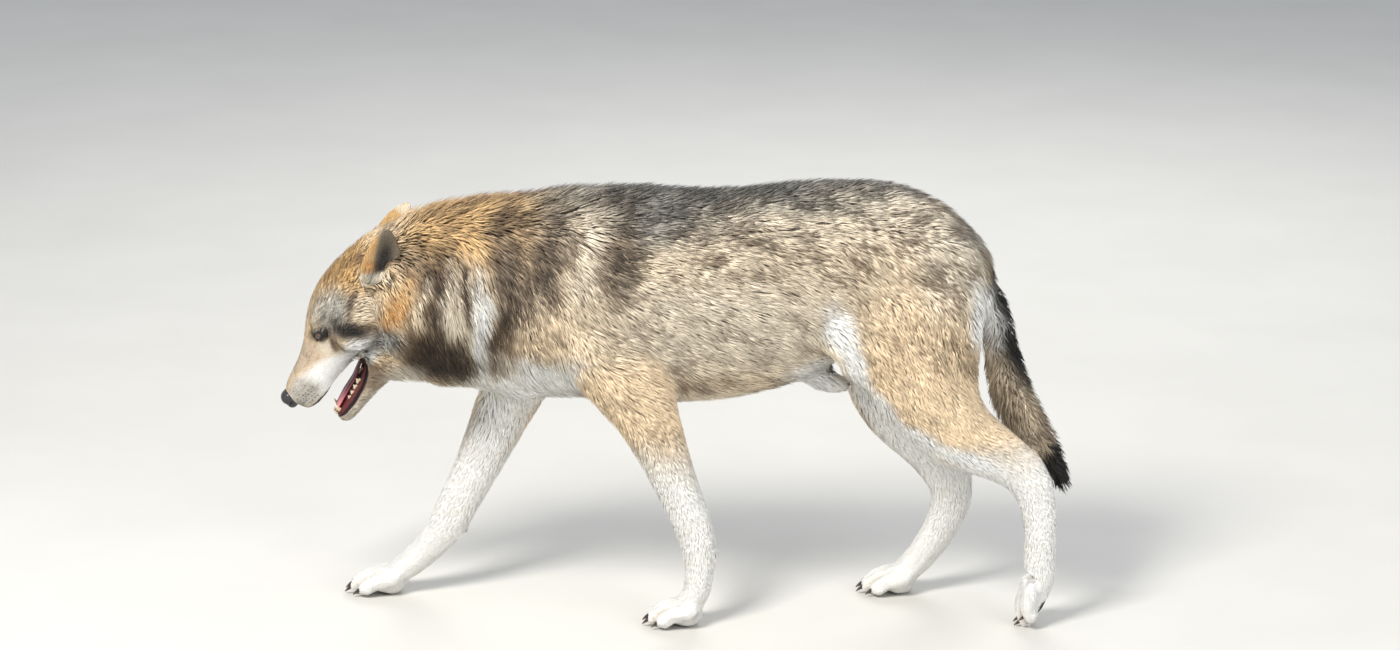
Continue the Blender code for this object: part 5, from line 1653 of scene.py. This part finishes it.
# Lamps: name, place, size, watts and colour.
LAMPS = [
    ("key", (-2.2, -3.0, 4.2), 1.6, 350, (1.0, 0.975, 0.94)),
    ("fill", (3.2, -3.2, 1.6), 2.5, 85, (1.0, 1.0, 1.0)),
    ("rim", (0.8, 3.4, 3.2), 2.0, 80, (1.0, 1.0, 1.0)),
]


def make_camera():
    """A camera that looks along +Y and a little down."""
    data = bpy.data.cameras.new("camera")
    data.sensor_width = SENSOR
    data.lens = SENSOR * CAMERA_DISTANCE / CAMERA_WIDTH
    data.clip_start = 0.05
    camera = bpy.data.objects.new("camera", data)
    back = Vector((0.0, -math.cos(CAMERA_ELEVATION), math.sin(CAMERA_ELEVATION)))
    camera.location = CAMERA_TARGET + back * CAMERA_DISTANCE
    camera.rotation_euler = (-back).to_track_quat("-Z", "Y").to_euler()
    bpy.context.scene.collection.objects.link(camera)
    bpy.context.scene.camera = camera


def make_lamp(name, place, size, power, colour):
    """A soft square lamp that shines on the middle of the model."""
    data = bpy.data.lights.new(name, "AREA")
    data.size = size
    data.energy = power
    data.color = colour
    lamp = bpy.data.objects.new(name, data)
    lamp.location = place
    lamp.rotation_euler = (LIT_PLACE - Vector(place)).to_track_quat("-Z", "Y").to_euler()
    bpy.context.scene.collection.objects.link(lamp)


def make_stage():
    """A pale floor, soft studio light and the camera."""
    corners = FLOOR_HALF * np.array([[-1, -1, 0], [1, -1, 0], [1, 1, 0], [-1, 1, 0]])
    floor = mesh_object("floor", corners - [0, 0, FLOOR_BELOW], np.array([[0, 1, 2, 3]]), smooth=False)
    floor.data.materials.append(stage_material(FLOOR_COLOUR))
    world = bpy.data.worlds.new("studio")
    world.use_nodes = True
    background = world.node_tree.nodes["Background"]
    background.inputs["Color"].default_value = SKY_COLOUR
    background.inputs["Strength"].default_value = SKY_STRENGTH
    bpy.context.scene.world = world
    for lamp in LAMPS:
        make_lamp(*lamp)
    bpy.context.scene.view_settings.view_transform = "Standard"
    make_camera()


# ---------------------------------------------------------------- put together

skin = make_skin()
paint_skin(skin)
skin.data.materials.append(skin_material())
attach(skin, "root")
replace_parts(skin, *FLESH)

coat = coat_material()
for piece in make_coat(skin):
    piece.data.materials.append(coat)
    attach(piece, "root")

make_eyes(piece_material("eye", 0.12, 1.0, 300, 0.0))
make_nose(piece_material("nose leather", 0.42, 0.35, 1400, 0.0007))
make_tongue(piece_material("moist flesh", 0.35, 0.6, 900, 0.0004))
make_teeth(piece_material("tooth", 0.30, 0.4, 500, 0.0001))
make_claws(piece_material("claw", 0.38, 0.2, 400, 0.0002))

make_stage()
